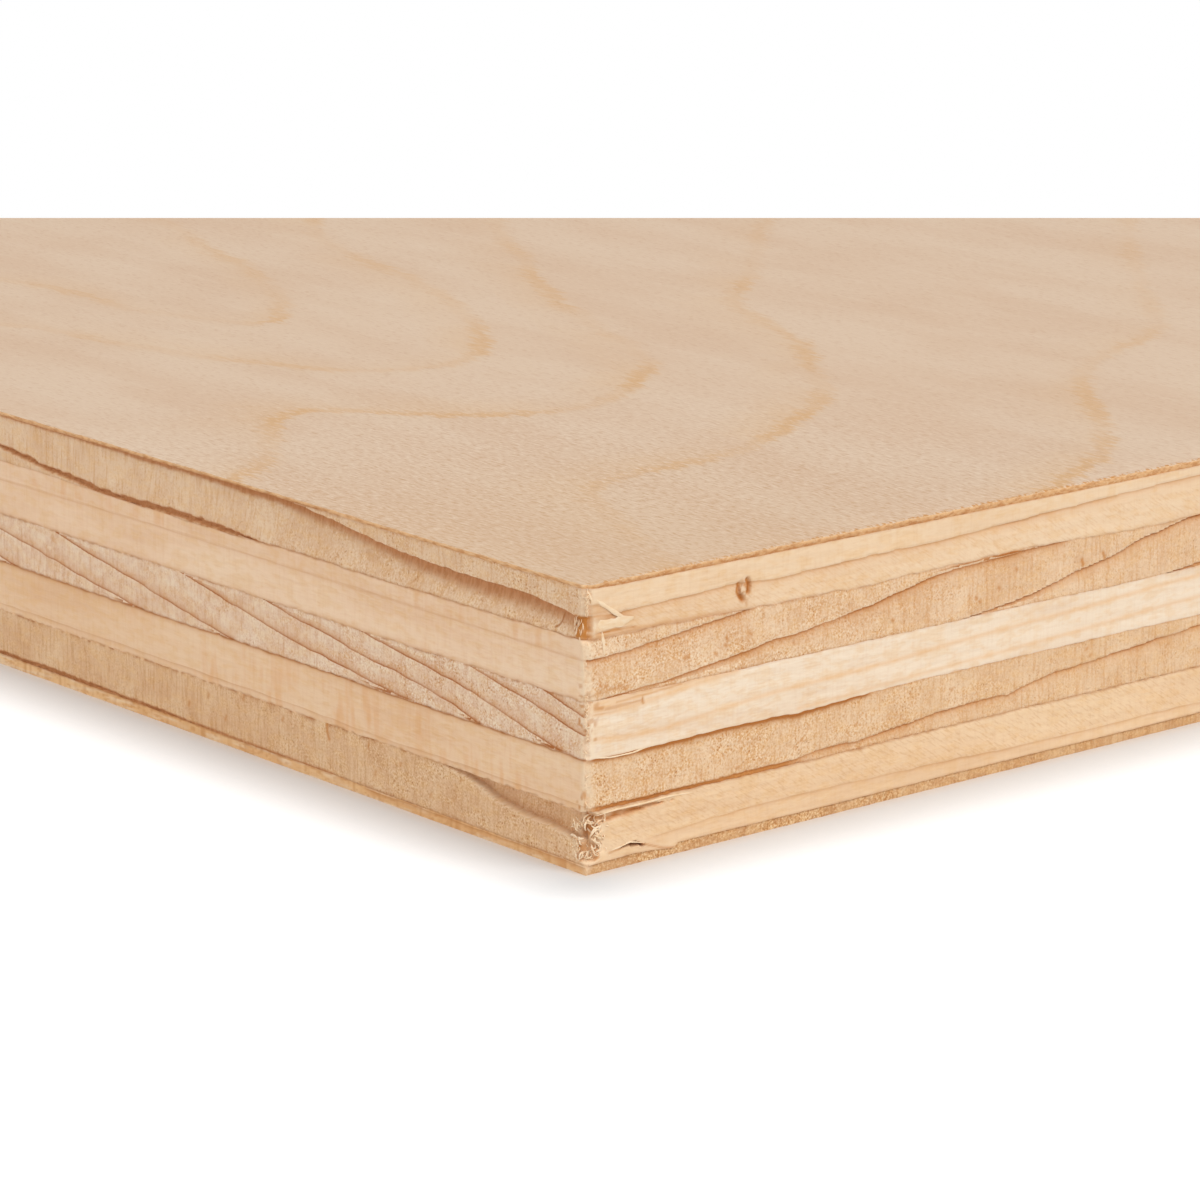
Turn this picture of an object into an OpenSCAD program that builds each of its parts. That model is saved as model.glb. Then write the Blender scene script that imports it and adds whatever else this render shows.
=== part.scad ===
// Plywood sheet of seven plies, 18 mm thick. Five thick core plies lie between a
// face veneer that is sanded very thin and a slightly thicker back veneer. The grain
// turns by a right angle from one ply to the next.
//
// The sheet lies flat with its underside at z = 0, its length along X and its width
// along Y. The worn corner is the one at +X, -Y: there the sawn edges show open
// joints, a lifted flake, torn fibres and a split in the two crossbands.

/* [Sheet] */
// Length, along the grain of the faces
sheet_length = 1220; // [300:1:2440]
// Width, across the grain of the faces
sheet_width = 610; // [200:1:1220]

/* [Plies] */
// Back veneer, grain along the length
back_veneer_t = 0.65; // [0.4:0.05:1.5]
// Lower crossband, grain across the width
crossband_bottom_t = 3.25; // [1.5:0.05:5]
// Lower long-grain ply
long_ply_bottom_t = 3.35; // [1.5:0.05:5]
// Centre crossband
crossband_centre_t = 3.5; // [1.5:0.05:5]
// Upper long-grain ply
long_ply_top_t = 3.75; // [1.5:0.05:5]
// Upper crossband
crossband_top_t = 3.2; // [1.5:0.05:5]
// Face veneer, grain along the length, sanded thin
face_veneer_t = 0.3; // [0.2:0.05:1.5]

/* [Flake under the face veneer] */
// Length of the hollow under the flake, back from the worn corner
flake_length = 48; // [20:1:90]
// Depth of the hollow where the flake overhangs it
flake_depth = 0.7; // [0.2:0.05:1.5]
// Length over which the hollow keeps its full depth
flake_full_length = 24; // [5:1:90]

/* [Open joint in the long edge] */
// Distance from the worn corner to the tip of the open joint
joint_start = 33; // [5:1:80]
// Length of the open joint
joint_length = 43; // [10:1:120]
// How far the open joint reaches into the sheet
joint_depth = 0.8; // [0.2:0.1:5]

/* [Hollow in the lower crossband] */
// Length of the hollow, back from the worn corner
hollow_length = 14.5; // [5:0.5:60]
// Depth of the hollow at the joint above it
hollow_depth = 1.1; // [0.3:0.1:2]
// Length over which the hollow keeps its full depth
hollow_full_length = 9; // [2:0.5:60]

/* [Short edge] */
// Length of the torn patch in the upper crossband
tear_length = 4.2; // [1:0.1:20]
// Depth of the torn patch at the corner
tear_depth = 0.7; // [0.2:0.1:3]
// Length of the slack joint over the lower long-grain ply
slack_length = 22; // [5:1:80]
// Depth of the slack joint
slack_depth = 0.6; // [0.2:0.1:3]
// Length of the lifted strip at the top of the lower crossband
strip_length = 8.7; // [2:0.1:30]
// Depth behind the lifted strip
strip_depth = 0.4; // [0.1:0.05:2]
// Distance from the worn corner to the split in the lower crossband
split_start = 2.6; // [1.5:0.1:20]
// Length of the split
split_length = 2; // [0.5:0.1:20]
// Depth of the split
split_depth = 3; // [0.5:0.1:8]

/* [Worn corner] */
// How far the lower crossband is torn away along each edge
corner_break = 1.25; // [0.3:0.05:5]

/* [Hidden] */

// Underside of each ply, stacked from the one below
crossband_bottom_z = back_veneer_t;
long_ply_bottom_z = crossband_bottom_z + crossband_bottom_t;
crossband_centre_z = long_ply_bottom_z + long_ply_bottom_t;
long_ply_top_z = crossband_centre_z + crossband_centre_t;
crossband_top_z = long_ply_top_z + long_ply_top_t;
face_veneer_z = crossband_top_z + crossband_top_t;

// How far a cutter stands out of the sheet
clear = 1;

// Elevations of the cuts, as shares of the cut's length and of the ply's thickness.
// A share below 0 or above 1 leaves the cut open to the joint there.
flake_lip = [[0, 0.47], [0.06, 0.55], [0.13, 0.62], [0.19, 0.6], [0.25, 0.61],
             [0.33, 0.66], [0.42, 0.72], [0.5, 0.86], [0.58, 0.97], [0.65, 1.05], [1, 1.05]];
joint_gap = [[0, 0], [0.07, 0.09], [0.3, 0.07], [0.45, 0.15], [0.65, 0.35], [0.8, 0.37],
             [1, 0.36], [1, 0.31], [0.8, 0.31], [0.65, 0.27], [0.45, 0.06], [0.3, -0.05]];
hollow_lip = [[-0.1, 0.4], [0.14, 0.48], [0.28, 0.53], [0.42, 0.56], [0.56, 0.62],
              [0.7, 0.8], [0.83, 0.91], [1, 0.97], [1, 1.1], [-0.1, 1.1]];
tear_patch = [[-0.3, 0.73], [0.15, 0.72], [0.45, 0.5], [0.75, 0.28], [0.95, 0.16],
              [0.6, 0.12], [-0.3, 0.1]];
slack_gap = [[0.02, 1.1], [0.02, 0.92], [0.3, 0.9], [0.6, 0.93], [0.8, 0.95], [1, 1], [1, 1.1]];
strip_gap = [[-0.2, 0.95], [0.35, 0.93], [0.7, 0.9], [1, 0.86], [0.7, 0.85], [0.5, 0.8],
             [0.2, 0.75], [-0.2, 0.74]];
split_gap = [[0, 0.175], [0.25, 0.21], [0.5, 0.22], [0.75, 0.19], [1, 0.13], [0.7, 0.15],
             [0.35, 0.18]];
// The corner break runs between these shares of the lower crossband's thickness
break_low = 0.17;
break_high = 0.95;

// One flat ply, sawn to the size of the sheet
module ply(z, t)
    translate([-sheet_length / 2, -sheet_width / 2, z])
        cube([sheet_length, sheet_width, t]);

// Local X runs back from the worn corner along the long edge, local Y into the sheet
module on_long_edge(z)
    translate([sheet_length / 2, -sheet_width / 2, z])
        mirror([1, 0, 0])
            children();

// Local X runs from the worn corner along the short edge, local Y into the sheet
module on_short_edge(z)
    translate([sheet_length / 2, -sheet_width / 2, z])
        rotate([0, 0, 90])
            children();

// Straight cut of an elevation into an edge
module edge_cut(elevation, length, t, depth)
    translate([0, depth, 0])
        rotate([90, 0, 0])
            linear_extrude(depth + clear)
                polygon([for (p = elevation) [p[0] * length, p[1] * t]]);

// Cut whose depth runs out to nothing at the far end of its length
module tapered_cut(elevation, length, t, depth, full_length)
    intersection() {
        edge_cut(elevation, length, t, depth);
        translate([0, 0, -clear])
            linear_extrude(t + 2 * clear)
                polygon([[-clear, -clear], [-clear, depth], [min(full_length, length), depth],
                         [length, 0], [length, -clear]]);
    }

// Section of a hollow that is deepest at the top of its ply and runs out at low
module hollow_section(length, t, low, depth)
    rotate([90, 0, 90])
        translate([0, 0, -clear])
            linear_extrude(length + 2 * clear)
                polygon([[-clear, low], [0, low], [depth, t], [depth, t + clear], [-clear, t + clear]]);

module back_veneer()
    color("#c9a06e")
        ply(0, back_veneer_t);

module crossband_bottom()
    color("#ddb583")
        difference() {
            ply(crossband_bottom_z, crossband_bottom_t);
            // Scooped hollow under the joint of the long edge
            on_long_edge(crossband_bottom_z)
                intersection() {
                    tapered_cut(hollow_lip, hollow_length, crossband_bottom_t, hollow_depth,
                                hollow_full_length);
                    hollow_section(hollow_length, crossband_bottom_t, hollow_lip[0][1] * crossband_bottom_t,
                                   hollow_depth);
                }
            // Gap behind the lifted strip, and the split below it
            on_short_edge(crossband_bottom_z) {
                tapered_cut(strip_gap, strip_length, crossband_bottom_t, strip_depth, strip_length / 2);
                translate([split_start, 0, 0])
                    edge_cut(split_gap, split_length, crossband_bottom_t, split_depth);
            }
            // Fibres torn away at the corner
            on_long_edge(crossband_bottom_z + break_low * crossband_bottom_t)
                linear_extrude((break_high - break_low) * crossband_bottom_t)
                    polygon([[-clear, -clear], [corner_break + clear, -clear],
                             [corner_break, 0], [0.3 * corner_break, 0.4 * corner_break],
                             [0, corner_break], [-clear, corner_break + clear]]);
        }

module long_ply_bottom()
    color("#dfb98c")
        difference() {
            ply(long_ply_bottom_z, long_ply_bottom_t);
            on_short_edge(long_ply_bottom_z)
                tapered_cut(slack_gap, slack_length, long_ply_bottom_t, slack_depth, slack_length / 2);
        }

module crossband_centre()
    color("#e6c9a2")
        ply(crossband_centre_z, crossband_centre_t);

module long_ply_top()
    color("#dcb689")
        ply(long_ply_top_z, long_ply_top_t);

module crossband_top()
    color("#e3c298")
        difference() {
            ply(crossband_top_z, crossband_top_t);
            // Hollow under the lifted flake, deepest at the flake's lip
            on_long_edge(crossband_top_z)
                intersection() {
                    tapered_cut(concat(flake_lip, [[1, 0], [0, 0]]), flake_length, crossband_top_t,
                                flake_depth, flake_full_length);
                    hollow_section(flake_length, crossband_top_t, 0, flake_depth);
                    // The flake holds on at the corner itself
                    translate([corner_break, -clear, -clear])
                        cube([flake_length, flake_depth + 2 * clear, crossband_top_t + 2 * clear]);
                }
            // Joint that has opened further along
            on_long_edge(crossband_top_z)
                translate([joint_start, 0, 0])
                    edge_cut(joint_gap, joint_length, crossband_top_t, joint_depth);
            // Torn patch at the corner
            on_short_edge(crossband_top_z)
                tapered_cut(tear_patch, tear_length, crossband_top_t, tear_depth, tear_length / 3);
        }

module face_veneer()
    color("#d9bfa0")
        ply(face_veneer_z, face_veneer_t);

back_veneer();
crossband_bottom();
long_ply_bottom();
crossband_centre();
long_ply_top();
crossband_top();
face_veneer();
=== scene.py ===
import math

import bpy
import numpy as np
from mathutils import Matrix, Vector


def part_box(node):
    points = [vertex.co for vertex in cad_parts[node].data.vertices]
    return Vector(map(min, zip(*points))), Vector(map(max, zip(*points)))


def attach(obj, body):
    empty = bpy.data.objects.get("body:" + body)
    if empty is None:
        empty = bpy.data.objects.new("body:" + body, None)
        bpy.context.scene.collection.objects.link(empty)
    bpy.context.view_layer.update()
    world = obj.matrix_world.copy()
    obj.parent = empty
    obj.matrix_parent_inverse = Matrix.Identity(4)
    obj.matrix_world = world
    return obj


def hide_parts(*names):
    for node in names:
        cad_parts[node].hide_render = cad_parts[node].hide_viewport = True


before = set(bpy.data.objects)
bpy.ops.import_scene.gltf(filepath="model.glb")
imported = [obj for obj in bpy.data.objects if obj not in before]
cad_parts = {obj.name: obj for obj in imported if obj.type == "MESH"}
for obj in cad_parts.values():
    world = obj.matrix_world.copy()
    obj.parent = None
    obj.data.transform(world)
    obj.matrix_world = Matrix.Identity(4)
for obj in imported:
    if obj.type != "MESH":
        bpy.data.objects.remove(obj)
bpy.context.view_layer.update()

# Back veneer. A thin veneer peeled from the log, glued under the sheet with its grain along the length.
# All seven plies are glued up first and sawn to size together, so what they share is set out here: the
# columns round the sawn edges, the worn corner, the wander of the glue joints, and raw sawn wood.
MM = 0.001
box_low, box_high = (Vector(corner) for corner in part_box("back_veneer"))
sheet_length = (box_high.x - box_low.x) / MM
sheet_width = (box_high.y - box_low.y) / MM
half_length, half_width = sheet_length / 2, sheet_width / 2
girth = 2 * (sheet_length + sheet_width)
corner_ways = [sheet_width, sheet_width + sheet_length, 2 * sheet_width + sheet_length]

# Beside the worn corner the mesh has a column every tenth of a millimetre, and further on ever wider ones
close_front, close_right = 70.0, 56.0
close_step, wide_step, step_growth = 0.1, 10.0, 1.15
row_height = 0.1
# How far the sawn faces lie inside the sheet's size, so that their relief doesn't stand out of it
sawn_in = 0.05
PLIES = ["back_veneer", "crossband_bottom", "long_ply_bottom", "crossband_centre", "long_ply_top",
         "crossband_top", "face_veneer"]
# Marks that the finish turns into colour. The mark for hollows is painted shade in hollows, gaps and under
# lips.
# joint marks glue lines and knots, and also painted shade in open joints and cracks.
# pale marks pale fibres, and also painted highlights on lips and proud edges.
# tone and line are a growth ring's darker wood, and partly the painted shade of its ledge.
MARKS = ["line", "tone", "under", "joint", "hollow", "stain", "pale", "figure"]


def stations(length, close_length):
    """Distances from the worn corner in mm: close steps at first, then ever wider ones."""
    marks = list(np.arange(0, close_length, close_step))
    step = close_step
    while marks[-1] + 1.5 * step < length:
        marks.append(marks[-1] + step)
        step = min(step * step_growth, wide_step)
    return np.array(marks)


def edge_columns():
    """Each column's way round the sheet, from the worn corner up the right edge and on, and its side."""
    right = stations(sheet_width, close_right)
    front = girth - stations(sheet_length, close_front)[1:]
    back_and_left = np.arange(sheet_width, girth - sheet_length, wide_step)
    way = np.unique(np.round(np.concatenate([right, back_and_left, front, corner_ways]), 4))
    return way, np.searchsorted(np.array(corner_ways) - 1e-6, way, side="right")


column_way, column_side = edge_columns()
on_right, on_back, on_left, on_front = (column_side[:, None] == k for k in range(4))


def scatter(x, y, seed):
    """A random value from 0 to 1 for each pair of whole numbers."""
    h = x.astype(np.int64) * 374761393 + y.astype(np.int64) * 668265263 + seed * 1442695041
    h = (((h ^ (h >> 13)) & 0x7FFFFFFF) * 1274126177) & 0x7FFFFFFF
    return ((h ^ (h >> 16)) & 0xFFFF) / 65535.0


def rough(x, y, seed):
    """Smooth unevenness from -1 to 1 with one swell to a unit of x and y."""
    x, y = np.broadcast_arrays(x, y)
    x0, y0 = np.floor(x), np.floor(y)
    fx, fy = x - x0, y - y0
    fx, fy = fx * fx * (3 - 2 * fx), fy * fy * (3 - 2 * fy)
    low = scatter(x0, y0, seed) * (1 - fx) + scatter(x0 + 1, y0, seed) * fx
    high = scatter(x0, y0 + 1, seed) * (1 - fx) + scatter(x0 + 1, y0 + 1, seed) * fx
    return 2 * (low * (1 - fy) + high * fy) - 1


def line_through(points, at):
    """Height of a line drawn through a few points, at these distances."""
    xs, heights = zip(*points)
    return np.interp(at, xs, heights)


def ramp(value):
    """The value, kept from 0 to 1."""
    return np.clip(value, 0, 1)


def bell(distance, width):
    """1 at no distance, falling softly to almost nothing at twice the width."""
    return np.exp(-(distance / width) ** 2)


def between(z, low, high, soft):
    """1 between two heights, falling to 0 at each of them over a soft border inside."""
    return ramp((z - low) / soft) * ramp((high - z) / soft)


class SawnEdge:
    """One ply along one pair of sawn edges.

    Distances are in mm from the worn corner, and heights in mm from the floor. It holds how deep the saw and
    the wear have cut at each point of the mesh, and marks from 0 to 1 that the finish turns into colour.
    """

    def __init__(self, along, z, low, high, mine, end_grain, seed):
        self.along, self.z, self.low, self.high, self.mine, self.seed = along, z, low, high, mine, seed
        self.marks = {name: np.zeros(z.shape) for name in MARKS}
        self.nearest_ring = np.full(z.shape, np.inf)
        if end_grain:
            fine = 0.024 * rough(along / 0.24, z / 0.24, seed)
            wide = 0.02 * rough(along / 1.4, z / 0.9, seed + 1)
        else:
            fine = 0.014 * rough(along / 1.6, z / 0.2, seed)
            wide = 0.016 * rough(along / 6.0, z / 0.9, seed + 1)
        self.depth = sawn_in + np.clip(1.5 - along / 150, 0.15, 1) * (fine + wide)

    def line(self, points):
        """Height of a line drawn along the edge through a few points of distance and height."""
        return line_through(points, self.along)

    def unevenness(self, length, extra=0):
        """Unevenness along the edge alone, with one swell to this length."""
        return rough(self.along / length, 0 * self.along, self.seed + extra)

    def window(self, start, end, soft=1.0):
        """1 between two distances from the worn corner, fading over soft."""
        return ramp((self.along - start) / soft + 0.5) * ramp((end - self.along) / soft + 0.5)

    def mark(self, name, amount):
        self.marks[name] = ramp(np.maximum(self.marks[name], amount))

    def cut(self, depth):
        """Cuts at least this deep."""
        self.depth = np.maximum(self.depth, depth)

    def follow(self, height):
        """Moves the nearest row of the mesh onto a line, so that a cut can end sharply there."""
        height = np.broadcast_to(height, self.z.shape)
        nearest = np.abs(self.z - height).argmin(axis=1)
        column = np.arange(len(nearest))
        target = height[column, nearest]
        free = self.mine & (target > self.low[:, 0] + 0.1) & (target < self.high[:, 0] - 0.1)
        self.z[column[free], nearest[free]] = target[free]

    def ring(self, points, strength, ledge=0.0, soft=0.12, wander=0.04, lit_below=False, number=0):
        """A growth line, sharp on its upper side with darker wood and painted shade below, or the reverse if
        lit_below.

        The mark under crosses one half at the sharp side, so the finish can draw it finer than the mesh.
        """
        middle = self.line(points) + wander * self.unevenness(1.1, len(points) + 7 * number)
        below = self.z - middle if lit_below else middle - self.z
        window = self.window(points[0][0], points[-1][0])
        window = window * (0.8 + 0.2 * self.unevenness(2.5, 30 + len(points) + 7 * number))
        beyond = ramp((below + 0.28) / 0.13)
        shaded = np.maximum(below, 0)
        core = np.exp(-np.maximum(shaded - 0.05, 0) / soft)
        self.mark("line", strength * window * np.where(below > 0, core, beyond))
        self.mark("tone", strength * window * np.where(below > 0, np.exp(-shaded / (3.5 * soft)), beyond))
        nearer = np.abs(below) < self.nearest_ring
        self.marks["under"] = np.where(nearer, ramp(0.5 + below / 0.3), self.marks["under"])
        self.nearest_ring = np.minimum(self.nearest_ring, np.abs(below))
        self.depth = self.depth + ledge * window * np.where(below > 0, np.exp(-shaded / 0.4), 0)

    def joint_line(self, top, strength, width=0.08, broken=0.25):
        """A glue joint at the top or bottom of the ply, in places painted shade too. strength is a number or
        a line through points.
        """
        gap = self.high - self.z if top else self.z - self.low
        if not np.isscalar(strength):
            strength = self.line(strength)
        strength = strength * (1 - broken * (1 - self.unevenness(0.35, 5 + top)))
        width = width * (1 + 0.45 * self.unevenness(0.8, 3 + top))
        self.mark("joint", strength * bell(gap, width))

    def open_gap(self, points, depth, dark=0.45):
        """An open gap through points of distance, height of its middle and half its thickness."""
        xs, heights, halves = zip(*points)
        middle = np.interp(self.along, xs, heights)
        middle = middle + 0.03 * self.unevenness(0.8, 11) + 0.02 * self.unevenness(0.3, 14)
        swelling = 1 + 0.2 * self.unevenness(1.7, 12) + 0.3 * self.unevenness(0.4, 13)
        half = np.interp(self.along, xs, halves, left=0, right=0) * swelling
        inside = half - np.abs(self.z - middle)
        is_open = half > 0.01
        # The gap is cut in only a little; the dark inside it is painted shade.
        self.cut(depth * ramp(inside / 0.15 + 0.2) * is_open)
        self.mark("hollow", ramp(inside / 0.1 + 0.9) * is_open)
        self.mark("joint", dark * ramp(inside / 0.12 + 0.4) * is_open)

    def distance_to(self, points):
        """Distance in mm from a line drawn on the face through these points."""
        away = np.full(self.z.shape, np.inf)
        for (a0, z0), (a1, z1) in zip(points[:-1], points[1:]):
            da, dz = a1 - a0, z1 - z0
            share = ramp(((self.along - a0) * da + (self.z - z0) * dz) / (da * da + dz * dz))
            away = np.minimum(away, np.hypot(self.along - a0 - share * da, self.z - z0 - share * dz))
        return away

    def streak(self, name, points, width, strength, depth=0.0):
        """A mark drawn freely on the face, cut in if it has a depth."""
        drawn = bell(self.distance_to(points), width)
        self.mark(name, strength * drawn)
        if depth:
            self.cut(depth * ramp(2 * drawn - 0.5))

    def specks(self, places, lean, width, strength):
        """Short stained strokes that start at these places and all lean the same way."""
        for along, height in places:
            self.streak("stain", [(along, height), (along + lean[0], height + lean[1])], width, strength)


# Height by height, how much of the worn corner is gone: a blunt arris, and two places where fibres tore out
CORNER_WEAR = [(0, 0.2), (0.6, 0.25), (0.7, 0.35), (0.82, 0.8), (0.95, 1.1), (2, 1.2), (3, 1.2),
               (3.75, 0.9), (3.95, 0.4), (6, 0.3), (7.2, 0.3), (7.4, 0.4), (8.6, 0.5), (8.8, 0.3),
               (10.6, 0.5), (10.9, 0.5), (11.3, 0.3), (14.3, 0.35), (14.5, 0.6), (15.9, 0.6),
               (16.1, 0.45), (17.6, 0.5), (18, 0.6)]
# How far some joints wander along the front edge (negative distances) and the right edge. The lowest one
# dips where a flap of the lower crossband hangs over the back veneer.
JOINT_WANDER = {
    1: [(-62, 0.05), (-30, -0.03), (0, -0.08), (2, 0), (3.8, 0.02), (4.6, -0.02), (5.5, -0.08),
        (6.2, -0.18), (6.75, -0.27), (7.0, -0.24), (7.3, 0), (8, 0.03), (50, 0.03), (80, 0)],
    3: [(-80, 0), (-62, 0.1), (-30, 0.03), (0, -0.08), (5, -0.1), (10, 0), (15, -0.05), (17, -0.15),
        (20, -0.05), (23, 0.08), (27, 0.18), (60, 0.2), (80, 0)],
    5: [(-80, 0), (-58, 0), (-52, -0.1), (-48, -0.2), (-36, -0.18), (-30, -0.04), (-5, 0), (0, 0.03),
        (3, 0), (6, 0.1), (9, 0), (12, -0.1), (20, -0.15), (23, -0.25), (26, -0.12), (36, -0.05),
        (41, -0.12), (46, -0.3), (51, -0.28), (56, -0.1), (70, 0)],
    6: [(-80, 0), (0, 0), (2, -0.09), (30, -0.11), (45, -0.16), (60, -0.12), (90, 0)],
}
# How ragged each joint is, and the length of one swell, in mm
JOINT_RAGGED = {1: (0.015, 0.5), 2: (0.035, 0.4), 3: (0.03, 0.55), 4: (0.03, 0.6), 5: (0.05, 1.0),
                6: (0.012, 0.6)}


def joint_wander(joint):
    """How far in mm a glue joint lies above or below its level, for each column round the sheet."""
    if joint in (0, len(PLIES)):
        return np.zeros_like(column_way)
    signed = np.where(column_way < girth / 2, column_way, column_way - girth)
    ragged, swell = JOINT_RAGGED[joint]
    near = np.clip(1.6 - np.abs(signed) / 50, 0.3, 1)
    wander = 0.03 * rough(signed / 9.0, 0 * signed, 40 + joint)
    wander = wander + ragged * rough(signed / swell, 0 * signed, 50 + joint) * near
    if joint in JOINT_WANDER:
        wander = wander + line_through(JOINT_WANDER[joint], signed)
    # It fades out before the two ways round the sheet meet
    return wander * ramp((1500 - np.abs(signed)) / 100)


def stitch(outer, outer_way, inner, inner_way):
    """Triangles that join two closed rings of vertices, each with its distance round the sheet."""
    m, k = len(outer), len(inner)
    outer_way = np.append(outer_way, girth)
    inner_way = np.append(inner_way, girth)
    faces, i, j = [], 0, 0
    while i < m or j < k:
        if j == k or (i < m and outer_way[i + 1] <= inner_way[j + 1]):
            faces.append((outer[i], outer[(i + 1) % m], inner[j % k]))
            i += 1
        else:
            faces.append((outer[i % m], inner[(j + 1) % k], inner[j]))
            j += 1
    return faces


def close_face(points, faces, ring, z, lines_x, lines_y, upward):
    """Closes one side of a ply with a grid, stitched to the ring that its sawn edge ends in."""
    nx, ny = len(lines_x), len(lines_y)
    grid_x, grid_y = np.meshgrid(lines_x, lines_y, indexing="ij")
    number = len(points) + np.arange(nx * ny).reshape(nx, ny)
    points.extend(np.stack([grid_x.ravel(), grid_y.ravel(), np.full(nx * ny, z)], 1))
    quads = np.stack([number[:-1, :-1], number[1:, :-1], number[1:, 1:], number[:-1, 1:]], -1).reshape(-1, 4)
    # The grid's rim, from the worn corner up the right edge and on round the sheet
    rim = np.concatenate([number[-1, :-1], number[:0:-1, -1], number[0, :0:-1], number[:-1, 0]])
    x, y = np.array(points)[rim][:, :2].T
    counts = [ny - 1, nx - 1, ny - 1, nx - 1]
    side = np.repeat(np.arange(4), counts)
    way = np.select([side == 0, side == 1, side == 2],
                    [y + half_width, sheet_width + half_length - x, corner_ways[1] + half_width - y],
                    corner_ways[2] + x + half_length)
    way[np.cumsum([0] + counts[:-1])] = [0] + corner_ways
    seam = np.array(stitch(ring, column_way, rim, way))
    if not upward:
        quads, seam = quads[:, ::-1], seam[:, ::-1]
    faces.extend(quads.tolist())
    faces.extend(seam.tolist())


def grid_lines(length, close_length=0.0, wide=60.0):
    """Grid lines across a face as distances from the worn corner, close together beside it."""
    inset, close = 4.0, 2.0
    marks = np.arange(inset, close_length, close)
    start = max(close_length, inset)
    rest = np.linspace(start, length - inset, max(2, int((length - start) / wide)))
    return np.concatenate([marks, rest])


map_size = 1024


def lay_edge_strips(plan):
    """Where each column of the sawn edge goes on the map in pixels: left, right, foot and head."""
    ends = np.append(column_way, girth)
    width = np.diff(ends)
    middle = ends[:-1] + width / 2
    near = (middle < close_right) | (middle > girth - close_front)
    width = width * np.where(near, plan["close"], plan["wide"])
    tall = np.where(near, *plan["rows_high"])
    left, foot = np.empty(len(width)), np.empty(len(width))
    at, floor, strip = 2.0, plan["strips_from"], 0
    for i, span in enumerate(width):
        if at + span > map_size - 2 or (i and near[i] != near[i - 1]):
            at, floor, strip = 2.0, floor + strip + 3, 0
        strip = max(strip, tall[i])
        left[i], foot[i] = at, floor
        at += span
    return left, left + width, foot, foot + tall


def lay_map(mesh, points, faces, columns, rows, middle_z, plan):
    """Lays the ply flat for its baked finish: strips for the sawn edge, then the two faces."""
    left, right, foot, head = lay_edge_strips(plan)
    loop_vertex = np.empty(len(mesh.loops), np.int32)
    mesh.loops.foreach_get("vertex_index", loop_vertex)
    spots = np.zeros((len(mesh.loops), 2))
    edge_faces = columns * (rows - 1)
    column = np.repeat(np.arange(columns), rows - 1)
    row = np.tile(np.arange(rows - 1), columns)
    lower = foot[column] + (head - foot)[column] * row / (rows - 1)
    upper = foot[column] + (head - foot)[column] * (row + 1) / (rows - 1)
    left, right = left[column], right[column]
    corners = np.stack([left, lower, right, lower, right, upper, left, upper], 1)
    spots[:4 * edge_faces] = corners.reshape(-1, 2)
    place = points[loop_vertex[4 * edge_faces:]]
    sizes = [len(face) for face in faces[edge_faces:]]
    face_of_loop = np.repeat(np.arange(len(sizes)), sizes)
    centre = np.stack([np.bincount(face_of_loop, place[:, k]) / sizes for k in range(3)], 1)[face_of_loop]
    flat_spots = spots[4 * edge_faces:]

    def into(rectangle, low_x, low_y, high_x, high_y, chosen):
        """Lays the chosen corners of faces into a rectangle of the map."""
        x0, y0, x1, y1 = rectangle
        margin = 2.0
        share_x = (place[chosen, 0] - low_x) / (high_x - low_x)
        share_y = (place[chosen, 1] - low_y) / (high_y - low_y)
        flat_spots[chosen, 0] = x0 + margin + (x1 - x0 - 2 * margin) * share_x
        flat_spots[chosen, 1] = y0 + margin + (y1 - y0 - 2 * margin) * share_y

    upward = centre[:, 2] > middle_z
    whole = (-half_length, -half_width, half_length, half_width)
    into(plan["top"], *whole, upward)
    into(plan["bottom"], *whole, ~upward)
    if "near_top" in plan:
        reach = plan["near_reach"]
        slack = 12.0
        near = upward & (centre[:, 0] > half_length - reach) & (centre[:, 1] < reach - half_width)
        into(plan["near_top"], half_length - reach - slack, -half_width, half_length,
             reach + slack - half_width, near)
    layer = mesh.uv_layers.new(name="OFBake")
    layer.uv.foreach_set("vector", (spots / map_size).astype(np.float32).ravel())


edge_plan = {"rows_high": (100, 24), "close": 26.0, "wide": 3.0, "strips_from": 300,
             "top": (0, 0, 1024, 150), "bottom": (0, 150, 1024, 298)}


def corner_wear(z):
    """How much of the worn corner is gone at each height."""
    uneven = 0.07 * rough(z / 0.6, 0 * z, 60) + 0.025 * rough(z / 0.2, 0 * z, 61)
    return np.maximum(line_through(CORNER_WEAR, z) + uneven, 0.1)


def wear_down(edge, wear, from_corner, seed, shift):
    """Blunts the arrises and takes the worn corner away, with the torn, stained fibres there."""
    z, along = edge.z, edge.along
    arris = 0.02 * (np.exp(-(z - edge.low) / 0.06) + np.exp(-(edge.high - z) / 0.06))
    gone = np.maximum(wear - along, 0)
    torn_out = ramp((wear - 0.65) / 0.15)
    torn = (0.03 + 0.07 * torn_out) * rough(along / 0.3, z / 0.3, seed + shift + 5) * ramp(4 * gone)
    edge.depth = np.maximum(edge.depth + arris + torn, 0) + gone
    edge.depth = np.minimum(edge.depth, wear / 2 + 0.1 + 1.2 * from_corner)
    fuzz = ramp((wear + 0.4 - along) / 0.35) * (0.75 + 0.4 * rough(along / 0.3, z / 1.1, seed + 8))
    edge.mark("pale", 0.75 * fuzz)
    # The stains show less on the short edge
    speck_strength, patch_strength = (0.5, 0.85) if shift else (0.85, 0.95)
    speck = ramp(3 * rough(along / 0.24, z / 0.3, seed + shift + 9) - 0.8)
    speck = speck * ramp((wear + 0.7 - along) / 0.3)
    often = np.maximum(ramp(2 * rough(z / 2.2, 0 * z, 62)), ramp(1.6 - np.abs(z - 9.7) / 0.8))
    edge.mark("stain", speck_strength * speck * often)
    patches = ramp(0.75 + 0.8 * rough(along / 0.5, z / 0.4, seed + 10)) * patch_strength
    edge.mark("stain", patches * torn_out * ramp((wear - along) / 0.1))


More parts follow.
